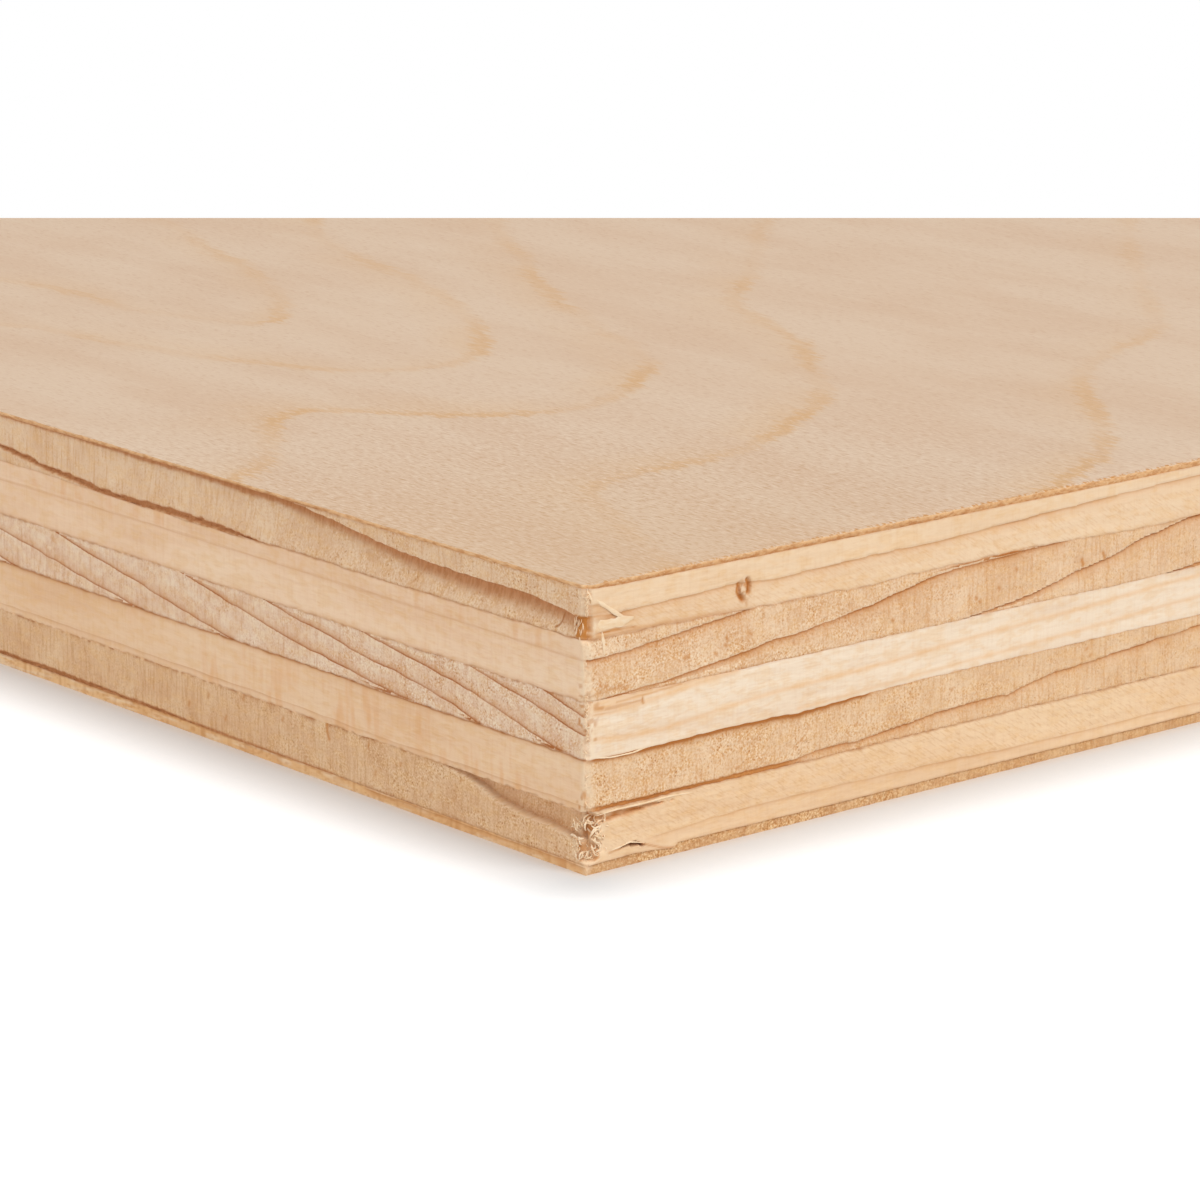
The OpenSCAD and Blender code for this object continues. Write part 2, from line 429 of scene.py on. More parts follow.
def outline_of(depth, along, inset, wear_ends):
    """X and Y of each point of the sawn edges, this deep inside the sheet's four sides."""
    way = column_way[:, None]
    for corner_way in corner_ways:
        fading = ramp(np.abs(way - corner_way) / 1.5)
        depth, inset = depth * fading, inset * fading
    x = np.select([on_right, on_back, on_left],
                  [half_length - depth, half_length - (way - sheet_width), depth - half_length],
                  half_length - along)
    y = np.select([on_right, on_back, on_left],
                  [along - half_width, half_width - depth, half_width - (way - sheet_width - sheet_length)],
                  depth - half_width)
    x[0], y[0] = half_length - wear_ends[0], wear_ends[1] - half_width
    turned = ramp(1 - np.minimum(way, girth - way))
    x = x - inset * np.select([on_right, on_front, on_left], [1, turned, -1], 0)
    y = y + inset * np.select([on_front, on_right, on_back], [1, turned, -1], 0)
    return x, y


def wooden_mesh(name, points, faces, sharp_from):
    """A mesh through points in mm, smooth but for edges that turn by more than this many degrees."""
    mesh = bpy.data.meshes.new(name)
    mesh.from_pydata((np.array(points) * MM).tolist(), [], faces)
    mesh.polygons.foreach_set("use_smooth", np.ones(len(faces), bool))
    mesh.set_sharp_from_angle(angle=math.radians(sharp_from))
    return mesh


def carry(mesh, name, values):
    """Lets a mesh carry one value for each of its points, which the finish reads by name."""
    mesh.attributes.new(name, "FLOAT", "POINT").data.foreach_set("value", values.astype(np.float32))


def bring_in(name, data):
    """Puts a mesh, a lamp or the camera into the scene."""
    made = bpy.data.objects.new(name, data)
    bpy.context.scene.collection.objects.link(made)
    return made


def make_ply(node, front, right, top_lines=None, plan=edge_plan, blunt=False):
    """Builds one ply. front and right shape and mark its long and short sawn edges.

    top_lines are the grid lines of its upper face, plan its map, and blunt rounds its upper rim.
    """
    joint = PLIES.index(node)
    seed = 100 + 20 * joint
    z_low, z_high = (corner[2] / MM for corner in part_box(node))
    thickness = z_high - z_low
    first_row, second_row = 0.06, 0.14
    inner = thickness - 2 * second_row
    inner_rows = np.linspace(second_row, thickness - second_row, max(2, round(inner / row_height) + 1))
    rows_up = np.concatenate([[0, first_row], inner_rows, [thickness - first_row, thickness]]) / thickness
    inset = np.zeros(len(rows_up))
    if blunt:
        rows_up, inset = np.append(rows_up, 1.0), np.append(inset, 0.2)
    low = z_low + joint_wander(joint)[:, None]
    high = z_high + joint_wander(joint + 1)[:, None]
    z = low + (high - low) * rows_up[None, :]

    # Distance from the worn corner. On the two hidden sides it is always too far for any wear
    way = column_way[:, None]
    unworn = 400.0
    along = np.select([on_right, on_back, on_left],
                      [way, sheet_width + 2 * sheet_length - way, way], girth - way)
    along = np.where(on_back, np.maximum(along - sheet_length, unworn), along)
    wear = corner_wear(z)
    along = along + wear / 2 * ramp(1 - along / 6) ** 2
    from_corner = np.minimum(way, girth - way)
    lengthwise = on_front | on_back
    crossband = joint % 2 == 1
    # The last number gives the short edges an unevenness of their own
    pairs = ((front, lengthwise, crossband, 0), (right, ~lengthwise, not crossband, 10))
    edges = []
    for shape, mine, end_grain, shift in pairs:
        edge = SawnEdge(along, z, low, high, mine[:, 0], end_grain, seed + shift)
        shape(edge)
        wear_down(edge, wear, from_corner, seed, shift)
        edges.append(edge)
    front_edge, right_edge = edges
    depth = np.where(lengthwise, front_edge.depth, right_edge.depth)
    x, y = outline_of(depth, along, inset, (right_edge.depth[0], front_edge.depth[0]))

    columns, rows = z.shape
    if blunt:
        z = z.copy()
        z[:, -2] -= 0.05 + 0.03 * rough(column_way / 0.4, 0 * column_way, 70)
    points = list(np.stack([x.ravel(), y.ravel(), z.ravel()], 1))
    number = np.arange(columns * rows).reshape(columns, rows)
    after = np.roll(number, -1, axis=0)
    quads = np.stack([number[:, :-1], after[:, :-1], after[:, 1:], number[:, 1:]], -1).reshape(-1, 4)
    faces = quads.tolist()
    plain = (grid_lines(sheet_length), grid_lines(sheet_width))
    for ring, level, lines, upward in ((number[:, -1], z_high, top_lines or plain, True),
                                       (number[:, 0], z_low, plain, False)):
        close_face(points, faces, ring, level, (half_length - lines[0])[::-1], lines[1] - half_width, upward)

    mesh = wooden_mesh(node + "_wood", points, faces, 55)
    for name in MARKS:
        values = np.zeros(len(points))
        marked = np.where(lengthwise, front_edge.marks[name], right_edge.marks[name])
        values[:columns * rows] = marked.ravel()
        carry(mesh, name, values)
    lay_map(mesh, np.array(points), faces, columns, rows, z_low + thickness / 2, plan)
    piece = bring_in(node + "_wood", mesh)
    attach(piece, "root")
    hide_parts(node)
    return piece


class Finish:
    """The nodes of a material, or of the room's light, being mixed: each call adds one step."""

    def __init__(self, owner):
        owner.use_nodes = True
        self.tree = owner.node_tree
        self.tree.nodes.clear()
        self.colour = None

    def give(self, socket, value):
        """Joins another node's output to a socket, or sets the socket to a plain value."""
        if isinstance(value, bpy.types.NodeSocket):
            self.tree.links.new(value, socket)
        else:
            socket.default_value = value

    def node(self, kind, inputs=(), **settings):
        made = self.tree.nodes.new(kind)
        for key, value in settings.items():
            setattr(made, key, value)
        for socket, value in dict(inputs).items():
            self.give(made.inputs[socket], value)
        return made

    def maths(self, operation, a, b=0.0, c=0.0):
        return self.node("ShaderNodeMath", {0: a, 1: b, 2: c}, operation=operation).outputs[0]

    def times(self, a, b):
        return self.maths("MULTIPLY", a, b)

    def span(self, value, low, high, to_low=0.0, to_high=1.0):
        """Smoothly turns values from low to high into values from to_low to to_high."""
        inputs = {"Value": value, "From Min": low, "From Max": high, "To Min": to_low, "To Max": to_high}
        return self.node("ShaderNodeMapRange", inputs, interpolation_type="SMOOTHSTEP").outputs[0]

    def mixed(self, share, a, b):
        """Mixes a share of colour b into colour a."""
        made = self.node("ShaderNodeMix", data_type="RGBA")
        self.give(made.inputs[0], share)
        self.give(made.inputs[6], a)
        self.give(made.inputs[7], b)
        return made.outputs[2]

    def tint(self, tone, *shares):
        """Mixes a tone into the colour so far, by the product of these shares."""
        share = shares[0]
        for other in shares[1:]:
            share = self.times(share, other)
        self.colour = self.mixed(share, self.colour, tone)

    def mark(self, name):
        """A mark that the mesh carries, from 0 to 1."""
        return self.node("ShaderNodeAttribute", attribute_name=name).outputs["Fac"]

    def place(self):
        """Object coordinates, which are metres in the sheet's own frame."""
        return self.node("ShaderNodeTexCoord").outputs["Object"]

    def parts(self, vector):
        """X, Y and Z of a vector as three outputs."""
        return self.node("ShaderNodeSeparateXYZ", {0: vector}).outputs

    def vector_maths(self, operation, a, b=(0, 0, 0), output="Vector"):
        return self.node("ShaderNodeVectorMath", {0: a, 1: b}, operation=operation).outputs[output]

    def sized(self, sizes, turn=0.0):
        """Object coordinates in units of these three sizes in mm, turned about the sheet's length."""
        place = self.place()
        if turn:
            place = self.node("ShaderNodeVectorRotate", {"Vector": place, "Angle": math.radians(turn)},
                              rotation_type="X_AXIS").outputs[0]
        return self.vector_maths("MULTIPLY", place, tuple(1 / (size * MM) for size in sizes))

    def from_corner(self):
        """Distance in metres from the foot of the worn corner."""
        return self.vector_maths("DISTANCE", self.place(), (box_high.x, box_low.y, box_low.z), "Value")

    def done(self, normal, roughness, gloss):
        """Ends a material in a plain shader with the colour so far."""
        shader = self.node("ShaderNodeBsdfPrincipled", {
            "Base Color": self.colour, "Roughness": roughness, "Specular IOR Level": gloss,
            "Normal": normal})
        self.node("ShaderNodeOutputMaterial", {"Surface": shader.outputs[0]})

    def noise(self, sizes, detail=2.0, roughness=0.5, turn=0.0):
        inputs = {"Vector": self.sized(sizes, turn), "Scale": 1.0, "Detail": detail, "Roughness": roughness}
        return self.node("ShaderNodeTexNoise", inputs).outputs["Fac"]

    def pits(self, sizes, low, high):
        """Small round pits, 1 in their middle."""
        inputs = {"Vector": self.sized(sizes), "Scale": 1.0}
        away = self.node("ShaderNodeTexVoronoi", inputs).outputs["Distance"]
        return self.span(away, low, high, 1.0, 0.0)


def srgb(r, g, b):
    """A colour given as it looks on screen, 0 to 255, in the linear values that a shader takes."""
    return tuple(((c / 255 + 0.055) / 1.055) ** 2.4 for c in (r, g, b)) + (1.0,)


# Tones that all the raw wood has. The glue brown also paints shade in open joints, cracks and under lips,
# and the pale of torn fibres also paints highlights on lips and proud edges.
glue_brown_and_shade, stained, pale_fibres_and_highlight = srgb(168, 101, 44), srgb(196, 128, 62), srgb(244, 220, 188)
pore_brown, warm, ring_shade = srgb(168, 100, 44), srgb(232, 186, 126), srgb(210, 144, 82)


def wood_finish(name, grain, side, end, pale, dark, line, speckle=0.8, strokes=0.0, bars=0.0, blush=None,
                bumps=0.4, fine=0.0, flames=0.0):
    """Raw sawn wood with its fibres along one axis. side and end are its colours along and across them.

    speckle is how strongly the cut ends of the fibres show. Where the mesh carries the mark figure, the
    side has slanting strokes of the saw, dark bars or a blush of this colour. flames is the figure of a
    peeled face, and fine how thinly the growth lines are drawn.
    """
    material = bpy.data.materials.new(name)
    f = Finish(material)
    sizes = {"fibre": [0.14] * 3, "strand": [0.6] * 3, "pore": [0.28] * 3, "cloud": [3.0] * 3}
    for kind, along in (("fibre", 0.9), ("strand", 8.0), ("pore", 3.0), ("cloud", 16.0)):
        sizes[kind][grain] = along
    fibre = f.noise(sizes["fibre"], detail=2.5, roughness=0.55)
    strand = f.noise(sizes["strand"])
    cloud = f.noise(sizes["cloud"])
    pores = f.pits(sizes["pore"], 0.1, 0.32)
    combed = f.noise((0.2, 0.2, 1.8))
    warmth = f.noise((1.1, 1.1, 0.5))
    normal = f.node("ShaderNodeNewGeometry").outputs["Normal"]
    axis = tuple(1.0 if k == grain else 0.0 for k in range(3))
    facing = f.vector_maths("DOT_PRODUCT", normal, axis, "Value")
    cut_across = f.span(f.maths("ABSOLUTE", facing), 0.4, 0.75)

    def either(along_grain, across_grain):
        return f.span(cut_across, 0.0, 1.0, along_grain, across_grain)

    f.colour = f.mixed(cut_across, side, end)
    f.tint(pale, f.span(cloud, 0.4, 0.75, 0.0, 0.4))
    f.tint(dark, f.span(cloud, 0.5, 0.25, 0.0, 0.2))
    f.tint(pale, f.span(strand, 0.48, 0.75), either(0.14, 0.12))
    f.tint(dark, f.span(strand, 0.5, 0.25), either(0.08, 0.1))
    f.tint(warm, f.span(warmth, 0.42, 0.66, 0.0, 0.3))
    f.tint(dark, f.span(combed, 0.52, 0.28), either(0.07, 0.36))
    f.tint(pale, f.span(combed, 0.52, 0.74), either(0.1, 0.2))
    crisp = f.span(f.from_corner(), 0.012, 0.045, 1.0, 0.38)
    crisp = f.times(crisp, f.span(f.noise((2.2, 2.2, 1.0), detail=1.0), 0.38, 0.62, 0.6, 1.2))
    f.tint(pale, f.span(fibre, 0.5, 0.68), either(0.28, speckle), crisp)
    f.tint(dark, f.span(fibre, 0.5, 0.32), either(0.11, 0.85 * speckle), crisp)
    sparse = f.span(f.noise((1.3, 1.3, 1.3), detail=1.0), 0.42, 0.6, 0.15, 1.0)
    f.tint(f.mixed(0.6, dark, pore_brown), pores, sparse, either(0.03, 0.7), crisp)
    if blush or bars or strokes:
        figure = f.times(f.mark("figure"), either(1.0, 0.0))
    if blush:
        f.tint(blush, figure)
    if bars:
        bar = f.span(f.noise((0.8, 40.0, 3.4), detail=1.0), 0.45, 0.75)
        often = f.span(f.noise((5.0, 40.0, 4.0), detail=1.0), 0.35, 0.65, 0.3, 1.0)
        f.tint(srgb(228, 166, 106), bar, often, bars, figure)
    if strokes:
        stroke = f.noise((40.0, 0.75, 0.12), turn=33.0)
        f.tint(dark, f.span(stroke, 0.5, 0.3), strokes, figure)
        f.tint(pale, f.span(stroke, 0.52, 0.7), strokes, figure)
    if flames:
        crossed = f.maths("FRACT", f.times(f.noise((560.0, 90.0, 90.0), detail=1.5), 26.0))
        flame = f.times(f.span(crossed, 0.0, 0.8), f.span(crossed, 1.0, 0.82))
        streaks = f.span(f.noise((60.0, 1.6, 1.6), detail=3.0), 0.35, 0.65)
        on_face = f.times(f.span(f.maths("ABSOLUTE", f.parts(normal)["Z"]), 0.7, 0.95), flames)
        f.tint(dark, flame, f.span(streaks, 0.0, 1.0, 0.5, 1.0), on_face)
        f.tint(pale, streaks, 0.35, on_face)
    # Painted shade inside hollows and gaps and under lips: a darker brown mixed in by the mark for hollows.
    inside = f.mixed(f.span(combed, 0.35, 0.65), srgb(193, 133, 87), srgb(209, 152, 106))
    f.tint(inside, f.mark("hollow"), 0.92)
    f.tint(pale_fibres_and_highlight, f.mark("pale"))
    f.tint(stained, f.mark("stain"))
    under = f.mark("under")
    below_ring = f.span(under, 0.46, 0.56)
    # Below each growth line its darker wood and the painted shade of its ledge, then the line itself, partly
    # painted shade too.
    f.tint(ring_shade, f.mark("tone"), below_ring, 0.65)
    f.tint(line, f.mark("line"), f.span(under, 0.68, 0.98, 1.0, 1.0 - fine), below_ring)
    # Glue lines, knots and cracks, and painted shade where joints are open or under lips.
    f.tint(glue_brown_and_shade, f.mark("joint"))

    relief = f.maths("MULTIPLY_ADD", f.times(pores, cut_across), -0.5, f.times(fibre, either(0.4, 1.0)))
    bump = f.node("ShaderNodeBump", {"Strength": bumps, "Distance": 0.0001, "Height": relief}).outputs[0]
    f.done(bump, f.span(fibre, 0.2, 0.8, 0.7, 0.88), 0.2)
    return material


def back_veneer_front(edge):
    edge.joint_line(True, [(0, 0.4), (22, 0.4), (30, 0.6), (46, 0.9), (62, 0.9), (80, 0.5)])
    edge.ring([(0, 0.5), (22, 0.53)], 0.6, soft=0.07)
    edge.mark("stain", 0.45 * ramp(1.4 * edge.unevenness(0.9, 14) * edge.unevenness(0.3, 15) + 0.1))
    edge.mark("pale", 0.6 * ramp(1.5 * rough(edge.along / 1.6, edge.z / 0.15, 16)))
    edge.mark("stain", 0.4 * ramp(2.5 * rough(edge.along / 0.3, edge.z / 0.12, 17) - 0.6))


def back_veneer_right(edge):
    edge.depth = edge.depth + 0.1
    edge.joint_line(True, 0.3)


back_veneer = make_ply("back_veneer", back_veneer_front, back_veneer_right)
back_veneer.data.materials.append(wood_finish(
    "back_veneer_finish", 0, side=srgb(236, 190, 138), end=srgb(210, 164, 118),
    pale=srgb(242, 212, 168), dark=srgb(176, 116, 58), line=srgb(180, 116, 58), speckle=0.84, flames=0.55))


# Lower crossband. A thick core ply with its fibres across the sheet, so the long edge shows their ends.
# At the worn corner a scoop is torn out under the joint above it, and the short edge has split.
def crossband_bottom_front(edge):
    z, along = edge.z, edge.along
    lip = edge.line([(0, 2.0), (1.2, 2.0), (2.5, 2.2), (4, 2.35), (6, 2.4), (8, 2.6), (9, 2.8),
                     (10.5, 3.3), (12, 3.6), (14.5, 3.87)]) + 0.03 * edge.unevenness(0.5, 20)
    deepest = edge.line([(0, 0.6), (4, 0.75), (9, 0.75), (11, 0.6), (13, 0.3), (14.5, 0)])
    above = z - lip
    inside = ramp(above / 0.12 + 0.2) * (along < 14.4)
    edge.cut(deepest * inside * ramp(0.85 + 0.15 * above))
    # Painted shade in the scoop, darkest just above its lower lip, and a painted highlight along that lip.
    edge.mark("hollow", 0.22 * inside)
    edge.mark("joint", 0.4 * inside * bell(np.maximum(above - 0.1, 0), 0.3) * edge.window(0.5, 14.5))
    edge.mark("pale", 0.5 * ramp(1 + above / 0.12) * (above < 0) * edge.window(1.5, 13.5))
    # The joint above the back veneer has opened, with painted shade inside the gap.
    edge.open_gap([(25, 0.68, 0.02), (40, 0.7, 0.05), (46, 0.76, 0.12), (52, 0.8, 0.17), (58, 0.82, 0.18),
                   (62, 0.8, 0.15), (80, 0.72, 0.02)], 0.2, dark=0.4)
    edge.joint_line(True, 0.85, width=0.13, broken=0.6)
    edge.joint_line(False, 0.65, width=0.12)
    edge.streak("stain", [(25.9, 3.85), (25.85, 3.4), (25.65, 2.9)], 0.13, 0.85)
    for back, height, width in ((34.8, 3.8, 0.16), (38.7, 3.1, 0.13), (20.8, 1.85, 0.1), (40.9, 2.1, 0.14),
                                (15.2, 1.7, 0.09), (12.1, 3.4, 0.08), (21.5, 3.6, 0.13), (36.8, 2.0, 0.12),
                                (18.2, 3.0, 0.1), (30.5, 3.3, 0.12)):
        edge.specks([(back, height)], (0.1, -0.25), width, 0.6)


def crossband_bottom_right(edge):
    z, along = edge.z, edge.along
    # The gap behind the lifted strip, its orange stain and the dark line along its foot partly painted shade
    under = edge.line([(0, 3.1), (1.5, 3.1), (4.5, 3.3), (6, 3.42), (8.7, 3.4)])
    over = edge.line([(0, 3.7), (3, 3.68), (5, 3.6), (8.7, 3.5)]) + 0.05 * edge.unevenness(0.6, 21)
    inside = between(z, under, over, 0.06) * edge.window(-2, 8.2, 1)
    edge.cut(0.4 * inside * np.clip((9 - along) / 4, 0.3, 1))
    edge.mark("stain", inside * (0.55 + 0.5 * rough(along / 0.5, z / 0.12, 28)) * edge.window(-2, 6.5, 3))
    edge.mark("line", 0.8 * bell(z - under, 0.07) * edge.window(1, 8.6, 1))
    edge.cut(0.16 * ramp((1.9 - along) / 0.5) * between(z, 1.1, 3.4, 0.2))
    edge.ring([(5, 1.45), (8, 1.6), (10, 1.75), (15, 1.9), (20, 1.85), (25, 1.75), (30, 1.7), (35, 1.5),
               (40, 1.45), (53, 1.45), (90, 1.3)], 0.3, ledge=0.05, soft=0.1)
    middle = edge.line([(0, 1.3), (15, 1.9), (25, 1.75), (35, 1.5), (90, 1.3)])
    edge.mark("figure", ramp((z - middle) / 0.1))
    edge.mark("pale", 0.15 * ramp((middle - z) / 0.1) * (0.6 + 0.5 * rough(along / 1.2, z / 0.5, 23)))
    # The split, cut in, with painted shade inside it and a painted shadow line along the lower edge of the
    # flap.
    split = edge.line([(2.6, 1.22), (3.3, 1.36), (3.9, 1.3), (4.6, 1.06)])
    half = edge.line([(2.5, 0), (3.3, 0.12), (4, 0.11), (4.7, 0)])
    opened = ramp((half - np.abs(z - split)) / 0.03 + 0.5) * (half > 0)
    edge.cut(0.6 * opened)
    edge.mark("joint", 0.9 * opened)
    edge.streak("line", [(1.8, 1.12), (2.6, 1.2), (3.3, 1.45), (4.6, 1.12), (6.0, 0.62), (6.9, 0.45)],
                0.07, 0.6)
    edge.joint_line(True, 0.7)
    edge.joint_line(False, 0.4)


crossband_bottom = make_ply("crossband_bottom", crossband_bottom_front, crossband_bottom_right)
crossband_bottom.data.materials.append(wood_finish(
    "crossband_bottom_finish", 1, side=srgb(239, 206, 168), end=srgb(224, 183, 143),
    pale=srgb(244, 216, 178), dark=srgb(192, 132, 70), line=srgb(186, 116, 54), speckle=0.62, strokes=0.22))


# Lower long-grain ply. A thick core ply with its fibres along the sheet, so the short edge shows their
# ends. Its joint with the centre ply has slackened at the worn corner.
def long_ply_bottom_front(edge):
    edge.ring([(-1, 4.3), (10, 4.35), (20, 4.25), (30, 4.4), (62, 4.4), (90, 4.5)], 0.28, soft=0.08)
    edge.mark("figure", edge.window(5, 40, 6) * 0.9 + 0.3)
    edge.joint_line(True, [(0, 1.0), (30, 1.0), (62, 0.8), (90, 0.5)], broken=0.15)
    edge.mark("stain", 0.32 * bell(edge.high - edge.z, 0.25))
    edge.joint_line(False, 0.6, width=0.08, broken=0.6)
    edge.streak("stain", [(0.3, 4.9), (0.35, 5.1)], 0.15, 0.7)


def long_ply_bottom_right(edge):
    # The slackened joint, cut in a little, with a painted shadow fading down from it.
    slack = edge.line([(0, 0.1), (2, 0.2), (5, 0.22), (10, 0.2), (14, 0.18), (16, 0.28), (18, 0.22),
                       (20, 0.1), (22, 0.12), (25, 0)])
    below = edge.high - edge.z
    edge.cut(0.05 * ramp((slack - below) / 0.12 + 0.4) * edge.window(0, 23))
    outside = np.maximum(below - 0.5 * slack, 0)
    edge.mark("joint", 0.95 * bell(outside, 0.12) * edge.window(0.3, 23, 0.6))
    edge.mark("stain", 0.6 * bell(outside, 0.3) * edge.window(0.3, 23, 6))
    edge.joint_line(True, 0.5)
    edge.joint_line(False, 0.6)
    edge.ring([(0.5, 4.2), (5, 4.1), (10, 4.15), (17, 4.2), (18.5, 4.4), (22, 4.4), (25, 4.65), (29, 5.0),
               (33, 5.2), (35, 5.1), (37, 5.5), (39, 5.8), (42, 6.0), (45, 6.2), (48, 6.4), (51, 6.6),
               (53, 6.8), (60, 7.2)], 0.85, ledge=0.14)
    edge.mark("stain", 0.85 * edge.window(0.5, 17, 2) * ramp((4.2 - edge.z) / 0.08))
    edge.specks([(12, 4.5), (9, 4.6), (17.2, 5.3), (21.8, 5.5), (5, 6.0), (30, 6.3), (42, 6.9),
                 (42.3, 6.4)], (0.12, 0.05), 0.11, 0.6)
    edge.streak("line", [(2.5, 5.6), (2.55, 6.9)], 0.07, 0.3)


long_ply_bottom = make_ply("long_ply_bottom", long_ply_bottom_front, long_ply_bottom_right)
long_ply_bottom.data.materials.append(wood_finish(
    "long_ply_bottom_finish", 0, side=srgb(239, 202, 165), end=srgb(228, 192, 153),
    pale=srgb(246, 218, 184), dark=srgb(202, 138, 72), line=srgb(180, 108, 46), speckle=0.75, bars=0.5))


# Centre crossband. The palest ply. On the long edge its growth rings slant through it as thin dark lines,
# because the veneer was peeled nearly along them.
SLANTING_RINGS = [
    [(-14, 7.0), (-6, 8.6), (0, 9.75), (4.5, 10.8)],
    [(-6, 7.2), (0, 8.6), (5, 9.6), (9, 10.3), (12, 10.8)],
    [(2, 7.15), (5, 7.75), (10.2, 8.92), (12.3, 9.31), (14, 9.49), (16.1, 9.84), (18.1, 10.11),
     (20.7, 10.45), (23, 10.8)],
    [(9.8, 7.1), (12.65, 7.86), (14, 8.11), (16.5, 8.53), (18.8, 8.79), (21.6, 9.08), (23.8, 9.37),
     (26.4, 9.82), (28.5, 10.04), (33, 10.8)],
    [(17, 7.3), (18.8, 7.38), (20.7, 7.52), (23.3, 7.85), (25.9, 8.17), (28.6, 8.5), (35, 9.5),
     (42.5, 10.8)],
    [(35.5, 7.25), (40, 7.9), (46, 8.95), (52, 9.9), (57, 10.8)],
    [(46, 7.25), (52, 8.0), (60, 9.2), (66, 10.0), (71, 10.8)],
]


def crossband_centre_front(edge):
    # Beyond the last ring that the worn corner's side shows, more of them follow at chance distances
    dice = np.random.default_rng(5)
    lines = list(SLANTING_RINGS)
    top = SLANTING_RINGS[-1][-1][0]
    while top < sheet_length:
        top = top + dice.uniform(9, 15)
        run = dice.uniform(17, 26)
        lines.append([(top - run, 7.25), (top - 0.55 * run, 8.9 + dice.uniform(-0.2, 0.2)), (top, 10.8)])
    for number, points in enumerate(lines):
        edge.ring(points, 1.0, ledge=0.04, soft=0.12, wander=0.05, lit_below=True, number=number)
    mottled = rough(edge.along / 0.5, edge.z / 0.35, 30)
    mottled = mottled + 0.6 * rough(edge.along / 0.22, edge.z / 0.22, 31)
    edge.mark("pale", 0.4 * ramp(1.2 * mottled))
    edge.mark("stain", 0.12 * ramp(-1.2 * mottled - 0.1))
    edge.joint_line(True, 0.75, broken=0.5)
    edge.joint_line(False, 0.95, broken=0.3)


def crossband_centre_right(edge):
    for points, width, strength in (
            ([(0, 8.5), (3, 8.2), (6, 8.1), (9, 8.35), (12, 8.6), (15, 8.8), (25, 9.05), (30, 9.35),
              (40, 9.65), (50, 10.1), (80, 10.6)], 0.17, 0.3),
            ([(0, 8.3), (2.5, 8.05), (6, 8.0)], 0.1, 0.25),
            ([(17, 7.4), (19, 7.45), (25, 7.7), (30, 7.9), (40, 8.2), (50, 8.65), (80, 9.4)], 0.15, 0.26),
            ([(0, 10.2), (4, 10.0), (8, 10.4), (12, 10.7)], 0.2, 0.35),
            ([(0.2, 10.45), (1.5, 10.3), (3.2, 10.42), (6, 10.6)], 0.12, 0.4),
            ([(0.4, 9.9), (1.8, 9.8), (3.5, 9.95)], 0.12, 0.3),
            ([(0, 10.6), (12, 10.7)], 0.3, 0.3)):
        edge.streak("figure", points, width, 1.3 * strength)
    edge.joint_line(True, 0.3)
    edge.streak("stain", [(1.5, 10.15), (4.3, 10.2), (4.5, 10.0)], 0.08, 0.6)
    edge.streak("stain", [(4.4, 10.35), (4.45, 10.05)], 0.08, 0.9)
    edge.streak("stain", [(0.7, 10.3), (1.3, 10.25)], 0.12, 0.7)
    edge.streak("stain", [(0.3, 9.98), (1.2, 9.9), (2.4, 9.95)], 0.05, 0.4)
    edge.streak("stain", [(2.4, 10.45), (4.5, 10.5), (7.5, 10.66)], 0.06, 0.45)
    edge.joint_line(False, 0.25, width=0.05)
    lip = ramp(1.3 - (edge.z - edge.low) / 0.2) * edge.window(0.3, 24)
    edge.mark("pale", 0.6 * lip * ramp(0.7 + 0.6 * edge.unevenness(0.5, 24)))


crossband_centre = make_ply("crossband_centre", crossband_centre_front, crossband_centre_right)
crossband_centre.data.materials.append(wood_finish(
    "crossband_centre_finish", 1, side=srgb(243, 222, 196), end=srgb(232, 198, 168),
    pale=srgb(250, 234, 212), dark=srgb(202, 144, 92), line=srgb(166, 92, 38), speckle=0.66,
    blush=srgb(234, 176, 108), fine=0.45))


# Upper long-grain ply. Like the lower one. On the short edge its growth lines climb through the end grain,
# and the saw has left the wood above each line standing a little proud.
def long_ply_top_front(edge):
    growth_line = [(-1, 13.35), (20, 13.4), (40, 13.4), (62, 13.2), (90, 13.1)]
    edge.ring(growth_line, 0.1, soft=0.1, wander=0.05)
    edge.streak("stain", growth_line, 0.08, 0.3)
    above_line = ramp((edge.z - 13.4) / 0.1)
    edge.mark("figure", 0.7 * above_line + 0.25)
    edge.mark("stain", 0.07 * above_line)
    edge.joint_line(True, [(0, 0.75), (34, 0.7), (40, 0.35), (90, 0.3)], width=0.06)
    edge.joint_line(False, 0.5, broken=0.5)
    edge.mark("stain", 0.22 * bell(edge.z - edge.low, 0.22))


